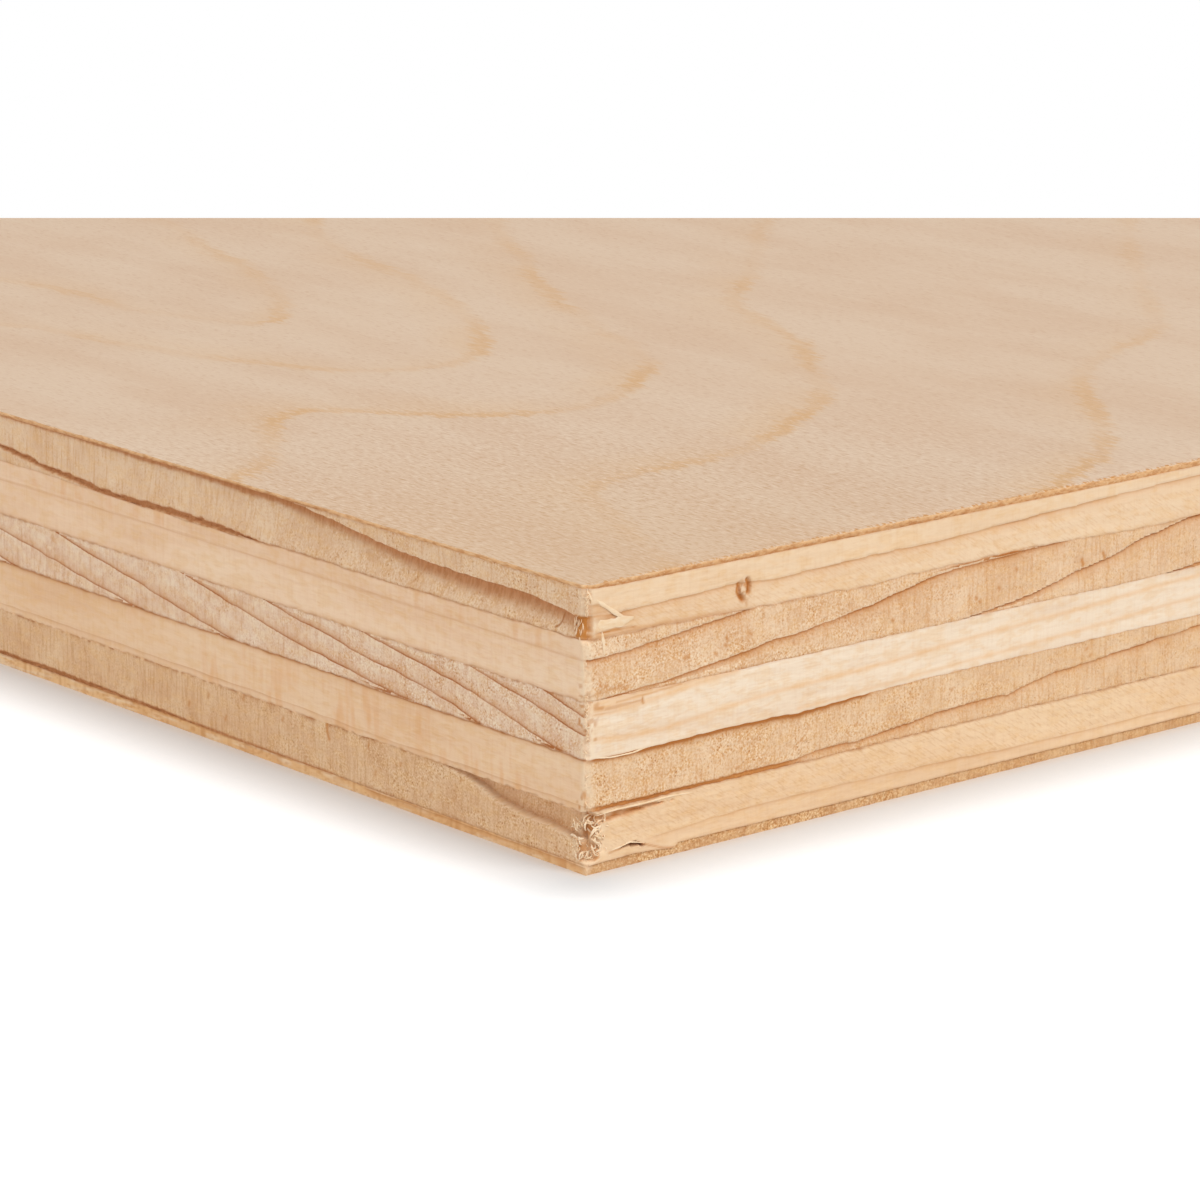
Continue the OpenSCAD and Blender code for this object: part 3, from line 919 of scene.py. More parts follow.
def long_ply_top_right(edge):
    for points, ledge in (
            ([(-1, 13.3), (3.3, 13.45), (5, 13.65), (8, 13.95), (10.5, 14.2), (13, 14.45)], 0.14),
            ([(0, 10.7), (4.2, 11.0), (6.1, 11.05), (7.9, 11.3), (9.5, 11.5), (11.6, 11.65), (13.5, 11.9),
              (15.2, 12.2), (16.5, 12.15), (18.1, 12.35), (20, 12.6), (23, 13.0), (25, 13.4), (28, 13.9),
              (30, 14.1), (34, 14.3), (40, 14.5)], 0.1),
            ([(31, 10.75), (33, 10.9), (37, 11.4), (39, 11.8), (41, 12.25), (44, 12.7), (47, 13.5),
              (49, 13.8), (51, 14.2), (55, 14.4)], 0.22),
            ([(49, 10.75), (51, 10.85), (53, 11.1), (60, 12.3), (70, 13.8), (76, 14.5)], 0.15)):
        edge.ring(points, 0.95, ledge=ledge, soft=0.15)
        # A painted highlight along the proud edge just above each line.
        raised = [(place, height + 0.06) for place, height in points]
        edge.streak("pale", raised, 0.05, 0.4)
    edge.streak("stain", [(0.3, 11.1), (2.0, 11.35), (3.4, 11.3)], 0.1, 0.4)
    edge.streak("stain", [(41.4, 12.95), (41.5, 12.6)], 0.13, 0.9)
    edge.streak("stain", [(43.3, 13.1), (43.5, 12.7)], 0.13, 0.9)
    edge.specks([(11, 12.5), (11.1, 12.9), (10.2, 12.1), (7.7, 12.25), (7.9, 12.35), (1.1, 11.7),
                 (1.5, 11.6), (24.8, 11.75), (32, 12.0), (32.3, 11.7), (34, 12.3), (3, 11.2), (13, 12.9),
                 (35.5, 13.3)], (0.1, -0.1), 0.11, 0.8)
    edge.streak("line", [(16.55, 12.0), (16.6, 11.2)], 0.07, 0.5)
    edge.joint_line(True, [(0, 0.75), (10, 0.6), (25, 0.45), (90, 0.35)])
    edge.joint_line(False, [(0, 0.6), (20, 0.55), (28, 0.3), (90, 0.3)])


long_ply_top = make_ply("long_ply_top", long_ply_top_front, long_ply_top_right)
long_ply_top.data.materials.append(wood_finish(
    "long_ply_top_finish", 0, side=srgb(243, 209, 176), end=srgb(228, 191, 153),
    pale=srgb(248, 222, 190), dark=srgb(204, 140, 74), line=srgb(176, 104, 44), speckle=0.75, bars=0.45))


# Upper crossband. Under the face veneer a flake of it has stayed at the edge while the wood below was
# pulled back, and further along its lower joint has opened. The corner is torn, and the short edge has a
# small knot.
crossband_foot = 14.55
arris_torn_to = 16.1


def crossband_top_front(edge):
    z, along = edge.z, edge.along
    # The hollow under the flake, cut in, with the shade of the flake's lip painted into it
    lip = edge.line([(0, 15.9), (1.2, 15.95), (1.5, 16.05), (3, 16.25), (5, 16.4), (6.5, 16.5),
                     (9, 16.42), (12, 16.45), (14, 16.5), (16, 16.6), (18, 16.65), (20, 16.8),
                     (22, 17.05), (24, 17.25), (26, 17.45), (28, 17.6), (31, 17.8),
                     (90, 17.8)]) + 0.04 * edge.unevenness(0.5, 20)
    deepest = edge.line([(0, 0.12), (1.1, 0.2), (1.6, 0.5), (3, 0.62), (20, 0.65), (26, 0.62), (33, 0.5),
                         (38, 0.42), (41, 0.26), (43, 0.36), (46, 0.36), (49, 0.28), (52, 0.15),
                         (62, 0.12), (80, 0)])
    edge.follow(lip)
    below = lip - z
    inside = ramp(below / 0.05)
    share = ramp((z - crossband_foot) / (lip - crossband_foot))
    edge.cut(deepest * inside * share ** 0.75)
    full_shade = edge.line([(3, 0.3), (6, 0.4), (9, 0.5), (12, 0.48), (16, 0.45), (20, 0.35), (28, 0.3),
                            (34, 0.25), (37, 0.1), (41, 0), (44, 0.05), (48, 0.05), (52, 0), (90, 0)])
    fading = edge.line([(3, 1.0), (12, 0.9), (20, 0.7), (28, 0.75), (31, 0.55), (41, 0.6), (52, 0.45),
                        (90, 0.5)])
    shade = edge.line([(0, 1), (38, 1), (41, 0.65), (43, 0.95), (48, 0.9), (52, 0.6), (60, 0.3),
                       (90, 0.2)])
    lit = ramp((below - full_shade) / fading)
    shade = shade * inside * (1 - lit * lit * (3 - 2 * lit))
    edge.mark("hollow", shade)
    edge.mark("joint", shade * edge.line([(0, 0.22), (24, 0.22), (29, 0.5), (52, 0.5), (90, 0.3)]))
    # Where the flake meets the veneer again, and the joint that has opened further along, with painted shade
    # in the gaps and under the veneer
    edge.joint_line(True, [(0, 0.35), (22, 0.45), (27, 0.7), (36, 0.7), (42, 0.55), (44, 0.85), (50, 0.8),
                           (52, 0.4), (62, 0.3), (90, 0.3)], width=0.1)
    edge.open_gap([(26, 17.3, 0), (28.4, 17.4, 0.2), (32, 17.5, 0.22), (36, 17.5, 0.2),
                   (38.5, 17.55, 0.16), (41.5, 17.6, 0.08), (43.5, 17.55, 0.17), (46, 17.56, 0.16),
                   (49, 17.6, 0.1), (53.5, 17.63, 0.05), (62, 17.65, 0.03), (80, 17.68, 0)], 0.12,
                  dark=0.35)
    edge.open_gap([(32, 14.42, 0.02), (34.9, 14.5, 0.12), (37, 14.55, 0.19), (39.3, 14.6, 0.21),
                   (41.5, 14.65, 0.21), (43.8, 14.6, 0.21), (46, 14.52, 0.2), (48.4, 14.5, 0.2),
                   (50.7, 14.56, 0.2), (53, 14.75, 0.2), (55.4, 14.9, 0.18), (57.8, 15.05, 0.15),
                   (60, 15.3, 0.16), (62.4, 15.52, 0.12), (70, 15.58, 0.1), (76, 15.6, 0.01)], 0.3,
                  dark=0.4)
    edge.joint_line(False, [(0, 0.75), (34, 0.7), (50, 0.3), (90, 0.3)], width=0.07)
    # Cracks at the corner, drawn as dark lines of painted shade.
    edge.streak("joint", [(2.55, 15.75), (2.6, 15.3), (2.8, 15.0), (3.1, 14.85)], 0.07, 1.0)
    edge.streak("joint", [(3.6, 14.55), (4.0, 14.72), (4.3, 14.6)], 0.05, 0.5)
    edge.streak("stain", [(16.1, 16.0), (16.2, 15.7), (16.4, 15.4), (17.2, 14.7)], 0.06, 0.45)
    # Fibres torn out of the arris below the flake
    torn = ramp((1.15 + 0.2 * rough(0 * z, z / 0.25, 25) - along) / 0.15)
    torn = torn * between(z, crossband_foot, arris_torn_to, 0.1)
    fibres = rough(along / 0.14, z / 1.1, 26) + 0.5 * rough(along / 0.4, z / 0.4, 27)
    edge.mark("stain", torn * ramp(0.7 + 0.9 * fibres))
    edge.mark("joint", 0.2 * torn * ramp(fibres))
    edge.mark("pale", 0.9 * torn * ramp(-0.1 - 1.6 * fibres))
    edge.mark("stain", 0.9 * bell(z - crossband_foot, 0.09) * edge.window(-1, 1.6, 0.6))
    edge.streak("stain", [(6.9, 15.6), (7.1, 15.1)], 0.05, 0.35)


def crossband_top_right(edge):
    z, along = edge.z, edge.along
    edge.ring([(1.5, 15.95), (6, 16.0), (12, 16.2), (15, 16.0), (20, 16.1), (25, 16.2), (28, 16.15),
               (32, 16.3), (36, 16.45), (40, 16.6), (44, 16.75), (48, 16.85), (53, 16.95), (90, 17.5)],
              0.6, ledge=0.1)
    # Torn patches at the corner: one at the arris, one behind the splinter, and a crack under the plate.
    # Their stains behind the splinter and in the crack, and the soft one beside the splinter, are partly
    # painted shade.
    at_arris = ramp((0.65 - along) / 0.12) * ramp((z - crossband_foot) / 0.1)
    at_arris = at_arris * ramp((arris_torn_to - z) / 0.15)
    over = edge.line([(0, 16.75), (0.9, 16.8), (1.5, 16.45), (2.1, 16.05), (2.8, 15.7)])
    under = edge.line([(0, 15.9), (0.9, 15.85), (2.0, 15.8), (2.8, 15.68)])
    behind = between(z, under, over, 0.07)
    crack = edge.line([(0.5, 14.86), (2, 14.93), (3.4, 14.88), (4.3, 14.75)])
    below_plate = ramp(1.3 - np.abs(z - crack) / 0.1) * edge.window(0.6, 4.0, 0.5)
    edge.cut(0.2 * at_arris)
    edge.cut(0.1 * behind)
    edge.cut(0.1 * below_plate)
    fibres = 0.75 + 0.4 * rough(along / 0.8, z / 0.1, 29)
    edge.mark("stain", fibres * np.maximum(0.95 * np.maximum(at_arris, below_plate), 0.6 * behind))
    edge.mark("stain", 0.4 * bell(z - 16.0 + 0.12 * along, 0.3) * edge.window(0.3, 3.5, 1.5))
    edge.mark("stain", 0.55 * bell(z - 14.7, 0.14) * edge.window(0, 5, 2))
    edge.mark("figure", ramp((16.2 - z) / 0.1))
    # Small knot
    for places, width in (([(12.05, 16.1), (12.0, 15.6), (12.25, 15.2), (12.4, 15.15)], 0.16),
                          ([(12.75, 16.3), (12.93, 15.9), (12.83, 15.5)], 0.18),
                          ([(12.3, 15.3), (12.42, 15.1)], 0.2)):
        edge.streak("stain", places, width, 1.0, depth=0.25)
    edge.streak("joint", [(12.93, 16.05), (12.86, 15.55)], 0.1, 0.9)
    edge.streak("joint", [(12.25, 15.4), (12.42, 15.1)], 0.11, 0.9)
    edge.streak("pale", [(12.4, 15.5), (12.45, 16.1)], 0.16, 0.8)
    round_knot = bell(along - 12.5, 0.5) * bell(z - 15.65, 0.6)
    edge.mark("stain", round_knot * ramp(0.2 + 2.4 * rough(along / 0.17, z / 0.14, 44)))
    edge.mark("joint", 0.8 * round_knot * ramp(2.6 * rough(along / 0.14, z / 0.2, 45) - 0.5))
    edge.streak("stain", [(12.65, 14.9), (12.7, 14.7)], 0.1, 0.5)
    edge.joint_line(True, 0.35, width=0.06)
    edge.joint_line(False, [(0, 0.75), (10, 0.55), (90, 0.4)], broken=0.4)
    edge.mark("stain", 0.4 * bell(z - edge.low - 0.12, 0.12) * edge.window(2, 12, 4))


crossband_top = make_ply("crossband_top", crossband_top_front, crossband_top_right)
crossband_top.data.materials.append(wood_finish(
    "crossband_top_finish", 1, side=srgb(238, 207, 171), end=srgb(226, 189, 153),
    pale=srgb(245, 220, 188), dark=srgb(204, 144, 84), line=srgb(194, 126, 64), speckle=0.55, strokes=0.2))


# Face veneer. A hardwood veneer peeled from the log and sanded to about 0.3 mm, pale and slightly pink.
# Peeling has opened its growth rings into nested arches that point towards the worn corner.
def face_veneer_front(edge):
    # Its glue line along the foot, much darker from 27 to 56 mm where the wood below has pulled back: there
    # it is painted shade.
    edge.joint_line(False, [(0, 0.3), (25, 0.35), (27, 0.8), (50, 0.9), (56, 0.5), (90, 0.4)], width=0.09)


def face_veneer_right(edge):
    edge.depth = edge.depth + 0.04
    dark = edge.line([(0, 0.5), (22, 0.5), (32, 0.32), (45, 0.2), (90, 0.15)])
    edge.mark("joint", dark * ramp((17.9 - edge.z) / 0.22) * (0.9 + 0.3 * edge.unevenness(0.5, 6)))


# Places on the growth rings, as distances back from the right edge and across from the front edge
RING_MARKS = [
    (1, [(122, 52), (108, 48), (95, 44), (86, 40), (78, 35), (75, 31), (85, 27), (97, 27)]),
    (2, [(107, 60), (100, 55), (90, 52), (76, 48.5), (66, 44), (60, 40), (56, 36), (55, 31), (58, 26),
         (66, 22), (76, 19), (84, 18)]),
    (3, [(84, 63), (75, 57), (65, 52), (55, 48), (46, 44), (41, 38), (38, 32), (39, 27), (45, 20),
         (49, 17), (48, 13), (44, 9.5), (40, 6), (37, 3)]),
    (4, [(65, 70), (60, 64), (52, 60), (43, 56), (38, 52), (30, 46), (26, 40), (22, 33), (20.5, 27),
         (20.5, 20), (19, 16), (12, 12.5), (5, 9), (0, 6.5)]),
    (5, [(30, 78), (28, 72), (23, 64), (17, 59), (10, 53), (5, 48), (2, 42), (0, 38)]),
]


def rings_crossed(back, across):
    """Growth rings crossed at a place on the face, drawn smoothly from the arches at the worn corner."""
    marks = np.array([(x, y, ring) for ring, places in RING_MARKS for x, y in places], float)
    unit = 50.0
    place, ring = marks[:, :2] / unit, marks[:, 2]

    def bend(distance):
        return distance ** 2 * np.log(np.maximum(distance, 1e-9))

    # A thin sheet of spring steel through the marks, bent as little as it can be
    flat = np.column_stack([np.ones(len(place)), place])
    apart = np.linalg.norm(place[:, None] - place[None], axis=2)
    system = np.block([[bend(apart) + 0.001 * np.eye(len(place)), flat], [flat.T, np.zeros((3, 3))]])
    weights = np.linalg.solve(system, np.concatenate([ring, np.zeros(3)]))
    at = np.column_stack([back, across]) / unit
    away = np.linalg.norm(at[:, None] - place[None], axis=2)
    drawn = bend(away) @ weights[:-3] + np.column_stack([np.ones(len(at)), at]) @ weights[-3:]
    # Beyond the arches the rings wander along the sheet
    elsewhere = 3 + 5.0 * rough(back / 640, across / 120, 81) + 0.5 * rough(back / 260, across / 60, 82)
    share = ramp((np.hypot(back, across) - 150) / 170)
    share = share * share * (3 - 2 * share)
    return drawn * (1 - share) + elsewhere * share


near_reach = 140.0
face_lines = tuple(grid_lines(length, near_reach, wide=8.0) for length in (sheet_length, sheet_width))
face_veneer = make_ply(
    "face_veneer", face_veneer_front, face_veneer_right, top_lines=face_lines, blunt=True,
    plan={"rows_high": (10, 3), "close": 4.6, "wide": 3.0, "strips_from": 860, "top": (0, 0, 1024, 420),
          "bottom": (440, 430, 1024, 650), "near_top": (0, 424, 430, 854), "near_reach": near_reach})
places = np.empty(3 * len(face_veneer.data.vertices))
face_veneer.data.vertices.foreach_get("co", places)
back, across = half_length - places[0::3] / MM, places[1::3] / MM + half_width
rings = rings_crossed(back, across)
step = 0.5
slope_x = (rings_crossed(back + step, across) - rings_crossed(back - step, across)) / (2 * step)
slope_y = (rings_crossed(back, across + step) - rings_crossed(back, across - step)) / (2 * step)
steepness = np.maximum(np.hypot(slope_x, slope_y), 1e-6)
for name, values in (("rings", rings), ("ring_width", np.clip(1 / steepness, 3, 60)),
                     ("cross_cut", np.abs(slope_x) / steepness)):
    carry(face_veneer.data, name, values)

face_finish = bpy.data.materials.new("face_veneer_finish")
f = Finish(face_finish)
place = f.place()
fibre = f.noise((0.8, 0.2, 1.0), detail=3.0, roughness=0.65)
strand = f.noise((9.0, 0.8, 1.0))
fleck = f.pits((1.3, 0.28, 1.0), 0.1, 0.3)
cloud = f.noise((24.0, 8.0, 9.0), detail=3.0)
to_corner = f.from_corner()

# The rings: a thin line at each with a soft shade on its inner side, broken up by the fibres they cross
off_line = f.mark("rings")
off_line = f.times(f.maths("SUBTRACT", off_line, f.maths("ROUND", off_line)), f.mark("ring_width"))
off_line = f.maths("ADD", off_line, f.span(f.noise((5.0, 1.1, 1.0), detail=1.0), 0.2, 0.8, -0.4, 0.4))
off_line = f.maths("ADD", off_line, f.span(f.noise((1.6, 0.4, 1.0)), 0.2, 0.8, -0.5, 0.5))
thin = f.times(f.span(off_line, -1.2, -0.1), f.span(off_line, 0.2, 1.0, 1.0, 0.0))
soft = f.times(f.span(off_line, -6.0, -0.3), f.span(off_line, 0.2, 1.2, 1.0, 0.0))
faint = f.span(to_corner, 0.2, 0.32)
broken = f.span(f.noise((14.0, 9.0, 9.0), detail=1.0), 0.35, 0.62, 0.3, 1.0)
from_front = f.maths("SUBTRACT", f.parts(place)["Y"], box_low.y)
fading = f.maths("MAXIMUM", f.span(from_front, 0.055, 0.08, 1.0, 0.4), f.span(to_corner, 0.15, 0.25))
shown = f.times(f.span(f.mark("cross_cut"), 0.3, 1.0, 0.45, 1.0), fading)
shown = f.times(shown, f.maths("MAXIMUM", broken, f.times(faint, 0.75)))
f.colour = f.mixed(f.span(cloud, 0.35, 0.68), srgb(221, 194, 167), srgb(216, 185, 156))
f.tint(srgb(219, 180, 136), soft, shown, 0.5)
f.tint(srgb(212, 164, 108), thin, f.span(faint, 0.0, 1.0, 1.0, 0.3), shown, 0.75)

# The fibres, crisp beside the worn corner, and the frayed end of the face
grainy = f.span(to_corner, 0.025, 0.07, 1.0, 0.28)
f.tint(srgb(228, 206, 182), f.span(strand, 0.5, 0.75, 0.0, 0.2))
f.tint(srgb(232, 210, 188), f.span(fibre, 0.5, 0.68), grainy, 0.9)
f.tint(srgb(200, 160, 124), f.span(fibre, 0.5, 0.32), grainy)
f.tint(srgb(192, 142, 98), fleck, 0.3)
frayed = f.span(f.noise((0.35, 0.25, 0.25)), 0.48, 0.6)
from_end = f.maths("SUBTRACT", box_high.x, f.parts(place)["X"])
f.tint(srgb(200, 138, 74), f.span(from_end, 0.0006, 0.0001), frayed)
f.tint(srgb(212, 172, 126), f.span(to_corner, 0.0, 0.05, 0.45, 0.0))
on_top = f.colour

# The veneer's sawn edge, darker and warmer than its face
facing = f.parts(f.node("ShaderNodeNewGeometry").outputs["Normal"])
f.colour = f.mixed(f.span(facing["X"], 0.3, 0.6), srgb(228, 178, 126), srgb(228, 180, 128))
f.tint(srgb(186, 120, 62), f.span(f.noise((0.7, 0.5, 0.2), detail=3.0), 0.42, 0.62, 0.0, 0.6))
f.tint(srgb(242, 212, 170), f.span(f.noise((0.8, 0.25, 0.1)), 0.52, 0.68, 0.0, 0.45))
# A painted highlight along the top of the edge, at the arris.
f.tint(srgb(234, 198, 156), f.span(f.parts(place)["Z"], 0.01782, 0.018, 0.0, 0.55))
f.colour = f.mixed(f.span(facing["Z"], 0.5, 0.8, 1.0, 0.0), on_top, f.colour)
f.tint(glue_brown_and_shade, f.mark("joint"))
relief = f.maths("MULTIPLY_ADD", fibre, 0.6, f.times(fleck, -0.5))
bump = f.node("ShaderNodeBump", {"Strength": 0.5, "Distance": 0.00008, "Height": relief}).outputs[0]
f.done(bump, f.span(fibre, 0.2, 0.8, 0.55, 0.7), 0.25)
face_veneer.data.materials.append(face_finish)


# Splinters and torn fibres. Slivers of the two crossbands that the saw lifted at the worn corner and left
# hanging by one end, and a tuft of curled fibres in the break of the lower one.
inside_by = 0.004


def at_corner(back, across, height):
    """A place in mm: back from the right edge, across from the front edge, and up from the floor."""
    return (half_length - max(back, inside_by), max(across, inside_by) - half_width, height)


def blade(points, faces, path, width, thickness, facing=(1, 0, 0)):
    """Adds a flat sliver along a path, pointed at both ends."""
    path = [Vector(at_corner(*place)) for place in path]
    facing = Vector(facing)
    steps, corners = 14, 6
    knots = np.linspace(0, len(path) - 1, steps)
    first = len(points)
    for k, knot in enumerate(knots):
        i = min(int(knot), len(path) - 2)
        share = knot - i
        share = share * share * (3 - 2 * share) * 0.3 + share * 0.7
        centre = path[i].lerp(path[i + 1], share)
        centre.x = min(centre.x, half_length - thickness / 2 - inside_by)
        centre.y = max(centre.y, width / 2 + inside_by - half_width)
        run = (path[i + 1] - path[i]).normalized()
        side = facing.cross(run).normalized()
        taper = min(1.0, 0.25 + 4 * k / steps, 0.25 + 4 * (steps - 1 - k) / steps)
        uneven = 1 + 0.25 * float(rough(np.array(k * 0.9), np.array(first * 0.37), 91))
        w = width / 2 * taper * uneven
        t = thickness / 2 * (0.35 + 0.65 * taper)
        for a, b in ((w, 0), (0.55 * w, t), (-0.55 * w, t), (-w, 0), (-0.55 * w, -t), (0.55 * w, -t)):
            points.append(tuple(centre + side * a + facing * b))
    for k in range(steps - 1):
        for j in range(corners):
            a, b = first + corners * k + j, first + corners * k + (j + 1) % corners
            faces.append((a, a + corners, b + corners, b))
    faces.append(tuple(first + j for j in range(corners)))
    faces.append(tuple(first + corners * (steps - 1) + j for j in reversed(range(corners))))


def strand_of(points, faces, path, radius):
    """Adds one fibre along a path of places, round and thinner towards its ends."""
    first, sides = len(points), 6
    most_x, least_y = half_length - radius - inside_by, radius + inside_by - half_width
    path = [Vector((min(place.x, most_x), max(place.y, least_y), place.z)) for place in path]
    side = (path[1] - path[0]).orthogonal()
    for k, centre in enumerate(path):
        run = (path[min(k + 1, len(path) - 1)] - path[max(k - 1, 0)]).normalized()
        side = (side - run * side.dot(run)).normalized()
        other = run.cross(side)
        r = radius * (0.12 + 0.88 * math.sin(math.pi * (k + 0.2) / (len(path) - 0.6)) ** 0.6)
        for j in range(sides):
            turn = 2 * math.pi * j / sides
            points.append(tuple(centre + (side * math.cos(turn) + other * math.sin(turn)) * r))
    for k in range(len(path) - 1):
        for j in range(sides):
            a, b = first + sides * k + j, first + sides * k + (j + 1) % sides
            faces.append((a, b, b + sides, a + sides))
    faces.append(tuple(first + j for j in reversed(range(sides))))
    faces.append(tuple(first + sides * (len(path) - 1) + j for j in range(sides)))


def loose_piece(name, points, faces, finish):
    """Makes one piece of many slivers and gives it its finish."""
    piece = bring_in(name, wooden_mesh(name, points, faces, 60))
    piece.data.materials.append(finish)
    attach(piece, "root")


splinter_finish = wood_finish(
    "splinter_finish", 1, side=srgb(245, 219, 184), end=srgb(240, 208, 170),
    pale=srgb(250, 234, 210), dark=srgb(214, 160, 104), line=srgb(190, 126, 70), speckle=0.75, bumps=0.08)
points, faces = [], []
for path, width, thickness in (
        ([(0.08, 0.75, 17.05), (0.05, 1.4, 16.58), (0.04, 2.2, 16.02), (0.07, 3.3, 15.3)], 0.26, 0.07),
        ([(0.12, 0.6, 15.3), (0.05, 1.2, 15.38), (0.04, 2.4, 15.36), (0.04, 3.7, 15.45)], 0.62, 0.05),
        ([(0.06, 1.25, 14.95), (0.03, 1.35, 14.3), (0.04, 1.45, 13.5)], 0.22, 0.06),
        ([(0.12, 0.5, 14.5), (0.05, 0.8, 14.2), (0.06, 0.9, 13.8)], 0.1, 0.08),
        ([(0.2, 0.25, 17.6), (0.12, 0.45, 17.1), (0.2, 0.65, 16.5)], 0.2, 0.12),
        ([(0.1, 0.6, 7.25), (0.03, 2.0, 7.08), (0.03, 3.6, 7.06), (0.1, 5.0, 7.2)], 0.1, 0.07),
        ([(0.1, 0.8, 3.62), (0.05, 2.5, 3.74), (0.05, 4.5, 3.7), (0.06, 6.5, 3.76),
          (0.1, 9.0, 3.62)], 0.12, 0.08),
        ([(0.1, 1.7, 1.2), (0.05, 2.6, 1.32), (0.05, 3.4, 1.5), (0.05, 4.6, 1.22)], 0.1, 0.07)):
    blade(points, faces, path, width, thickness)
loose_piece("splinters", points, faces, splinter_finish)


def bowed(start, run, length, bow, turn=math.pi):
    """The path of a short fibre that bows out to one side."""
    return [start + run * length * (t - 0.5) + bow * math.sin(turn * t) for t in np.linspace(0, 1, 8)]


# Curled fibres in the break, short ones along the whole arris, and upright ones below the flake
points, faces = [], []
curled, short, upright = 60, 70, 14
dice = np.random.default_rng(12)
for _ in range(curled):
    height = dice.uniform(1.05, 3.5)
    share = dice.uniform(-0.4, 1.25)
    gone = 1.05 + 0.1 * dice.random()
    start = Vector(at_corner(gone * max(share, 0.08), gone * max(1 - share, 0.08), height))
    axis = Vector(dice.normal(0, 1, 3)).normalized()
    across_axis = axis.orthogonal().normalized()
    third = axis.cross(across_axis)
    curl, turns, climb = dice.uniform(0.15, 0.38), dice.uniform(0.3, 0.8), dice.uniform(0.2, 0.7)
    path = []
    for t in np.linspace(0, 1, 11):
        turn = 2 * math.pi * turns * t
        out = (across_axis * math.cos(turn) + third * math.sin(turn)) * curl
        path.append(start + axis * climb * (t - 0.5) + out)
    strand_of(points, faces, path, dice.uniform(0.045, 0.085))
for _ in range(short):
    height = dice.choice([dice.uniform(4.2, 14.3), dice.uniform(8.4, 11.2), dice.uniform(16.2, 17.6)])
    lean = dice.normal(0, 1, 3)
    run = Vector((lean[0] * 0.4 - 0.1, lean[1] * 0.4 + 0.1, lean[2])).normalized()
    bow = Vector((dice.uniform(0, 1), dice.uniform(-1, 0), 0)).normalized()
    start = Vector(at_corner(0.12 + 0.1 * dice.random(), 0.12 + 0.1 * dice.random(), height))
    path = bowed(start, run, dice.uniform(0.25, 0.6), bow * 0.12)
    strand_of(points, faces, path, dice.uniform(0.02, 0.035))
for _ in range(upright):
    start = Vector(at_corner(dice.uniform(0.3, 1.25), 0.1, dice.uniform(14.6, 16.1)))
    run = Vector((dice.normal(0, 0.35), 0.1, 1)).normalized()
    path = bowed(start, run, dice.uniform(0.25, 0.6), Vector((0.1, -0.05, 0)), turn=3)
    strand_of(points, faces, path, dice.uniform(0.02, 0.04))
loose_piece("torn_fibres", points, faces, splinter_finish)


# Floor. A plain white sweep that only the camera sees lifted to white. Within about a centimetre of the
# sheet the lift
# is held back and a warm tint is painted: a painted soft, warm shadow at its foot, over the real one. It is
# open where the sheet covers it, so the back veneer can be seen from below.
def rectangle(half_x, half_y):
    return [(-half_x, -half_y, 0), (half_x, -half_y, 0), (half_x, half_y, 0), (-half_x, half_y, 0)]


floor_half, covered = 6.0, 0.003
floor_mesh = bpy.data.meshes.new("floor")
floor_mesh.from_pydata(
    rectangle(floor_half, floor_half) + rectangle(box_high.x - covered, box_high.y - covered), [],
    [(0, 1, 5, 4), (1, 2, 6, 5), (2, 3, 7, 6), (3, 0, 4, 7)])
floor = bring_in("floor", floor_mesh)


def seen_directly(f):
    """1 for what the camera sees, also in a gloss or through glass."""
    rays = f.node("ShaderNodeLightPath").outputs
    seen = f.maths("MAXIMUM", rays["Is Camera Ray"], rays["Is Glossy Ray"])
    return f.maths("MAXIMUM", seen, rays["Is Transmission Ray"])


floor_with_painted_shadow = bpy.data.materials.new("floor_with_painted_shadow")
f = Finish(floor_with_painted_shadow)
apart = f.vector_maths("ABSOLUTE", f.place())
apart = f.vector_maths("SUBTRACT", apart, (box_high.x, box_high.y, 0))
away = f.vector_maths("LENGTH", f.vector_maths("MAXIMUM", apart), output="Value")
# Painted shadow: the camera's lift is held back within about a centimetre of the sheet.
lift_with_painted_shadow = f.times(f.span(away, -0.0012, 0.0105, 0.0, 0.6), seen_directly(f))
f.colour = f.mixed(f.noise((4.0, 4.0, 4.0)), (0.72, 0.72, 0.72, 1.0), (0.73, 0.73, 0.73, 1.0))
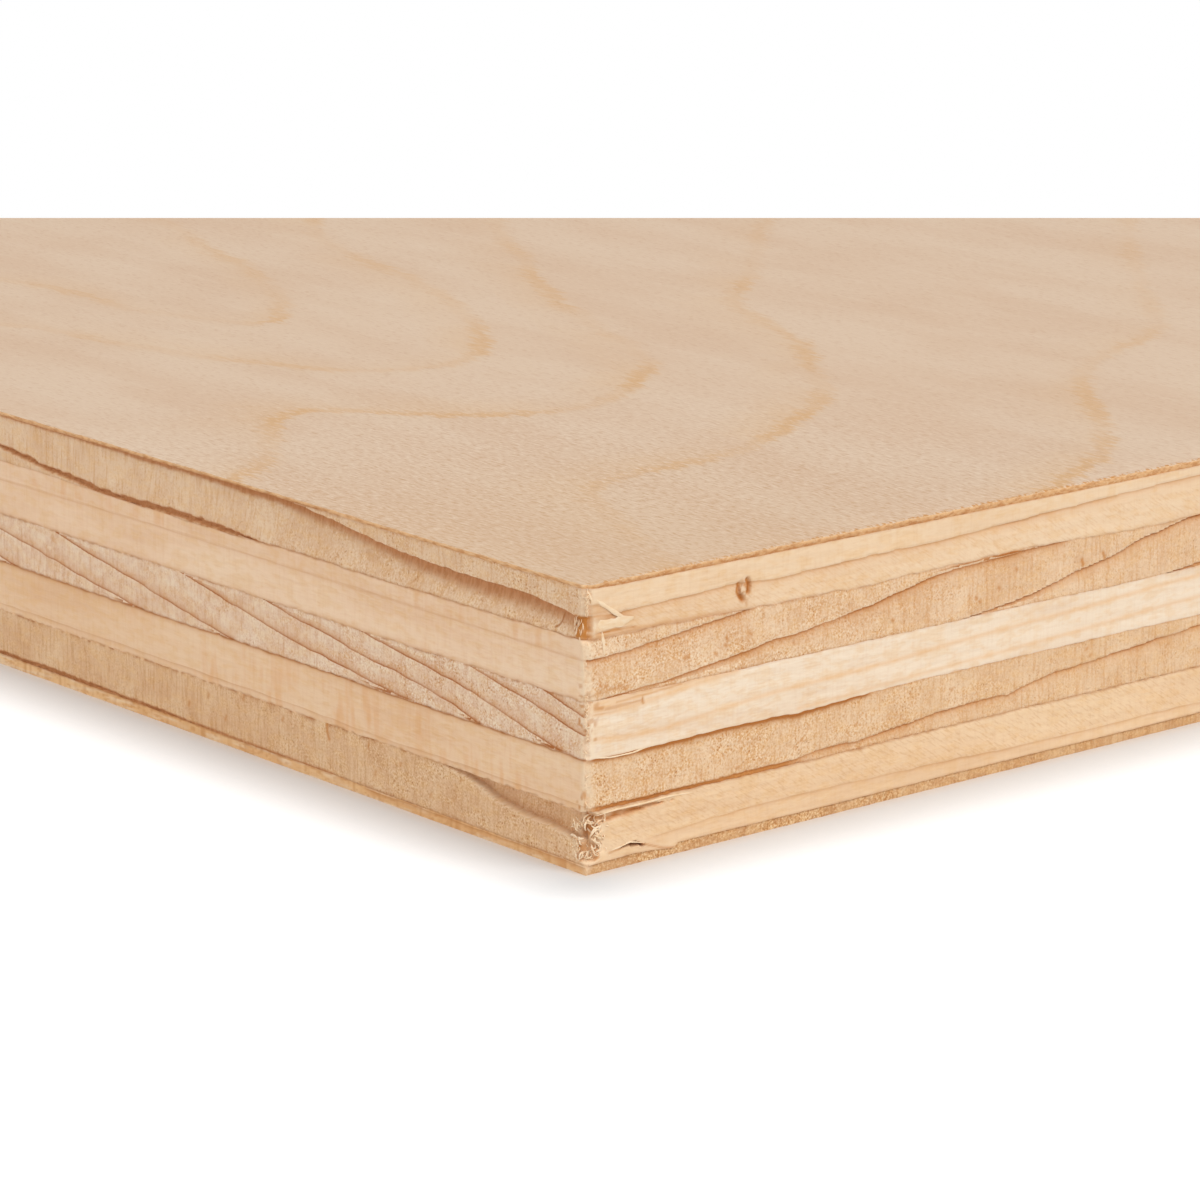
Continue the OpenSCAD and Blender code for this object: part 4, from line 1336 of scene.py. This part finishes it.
# Painted warm shade at the very foot of the sheet.
f.tint((0.78, 0.70, 0.62, 1.0), f.span(away, -0.0003, 0.0012, 0.7, 0.0))
paper = f.node("ShaderNodeBsdfDiffuse", {"Color": f.colour})
glow = f.node("ShaderNodeEmission", {"Color": (1, 1, 1, 1), "Strength": lift_with_painted_shadow})
both = f.node("ShaderNodeAddShader", {0: paper.outputs[0], 1: glow.outputs[0]})
f.node("ShaderNodeOutputMaterial", {"Surface": both.outputs[0]})
floor.data.materials.append(floor_with_painted_shadow)

# Light. A white room, one large soft lamp high on the right that makes the short edge the brightest side,
# and a weaker one low in front of the long edge.
world = bpy.data.worlds.new("white_room")
bpy.context.scene.world = world
f = Finish(world)
room = f.node("ShaderNodeBackground", {"Color": (1, 1, 1, 1), "Strength": 0.5})
backdrop = f.node("ShaderNodeBackground", {"Color": (1, 1, 1, 1), "Strength": 1.0})
either = f.node("ShaderNodeMixShader", {0: seen_directly(f), 1: room.outputs[0], 2: backdrop.outputs[0]})
f.node("ShaderNodeOutputWorld", {"Surface": either.outputs[0]})
lit_place = Vector((0.6, -0.3, 0.0))
for name, place, size, power in (("high_lamp", (2.0, -0.3, 1.5), 2.0, 29),
                                 ("low_lamp", (0.3, -2.0, 0.45), 1.0, 6.5)):
    lamp_data = bpy.data.lights.new(name, "AREA")
    lamp_data.shape = "DISK"
    lamp_data.size = size
    lamp_data.energy = power
    lamp = bring_in(name, lamp_data)
    lamp.location = place
    lamp.rotation_euler = (lit_place - lamp.location).to_track_quat("-Z", "Y").to_euler()

# Camera. It looks down on the worn corner through a long lens, from where the photograph was taken.
# The picture ends in a straight line across the face, so nothing beyond that distance is shown.
frame_pixels = 1200
focal_pixels = 5226.2
look_round = math.radians(140.2)
look_down = math.radians(14.521)
from_worn_corner = Vector((230.37, -190.89, 94.63)) * MM
picture_starts, picture_ends = 0.01, 0.4258
camera_data = bpy.data.cameras.new("camera")
camera_data.lens = camera_data.sensor_width * focal_pixels / frame_pixels
camera_data.clip_start = picture_starts
camera_data.clip_end = picture_ends
camera = bring_in("camera", camera_data)
ahead = Vector((math.cos(look_round) * math.cos(look_down), math.sin(look_round) * math.cos(look_down),
                -math.sin(look_down)))
camera.rotation_euler = ahead.to_track_quat("-Z", "Y").to_euler()
camera.location = Vector((box_high.x, box_low.y, box_low.z)) + from_worn_corner
bpy.context.scene.camera = camera
bpy.context.scene.view_settings.view_transform = "Standard"
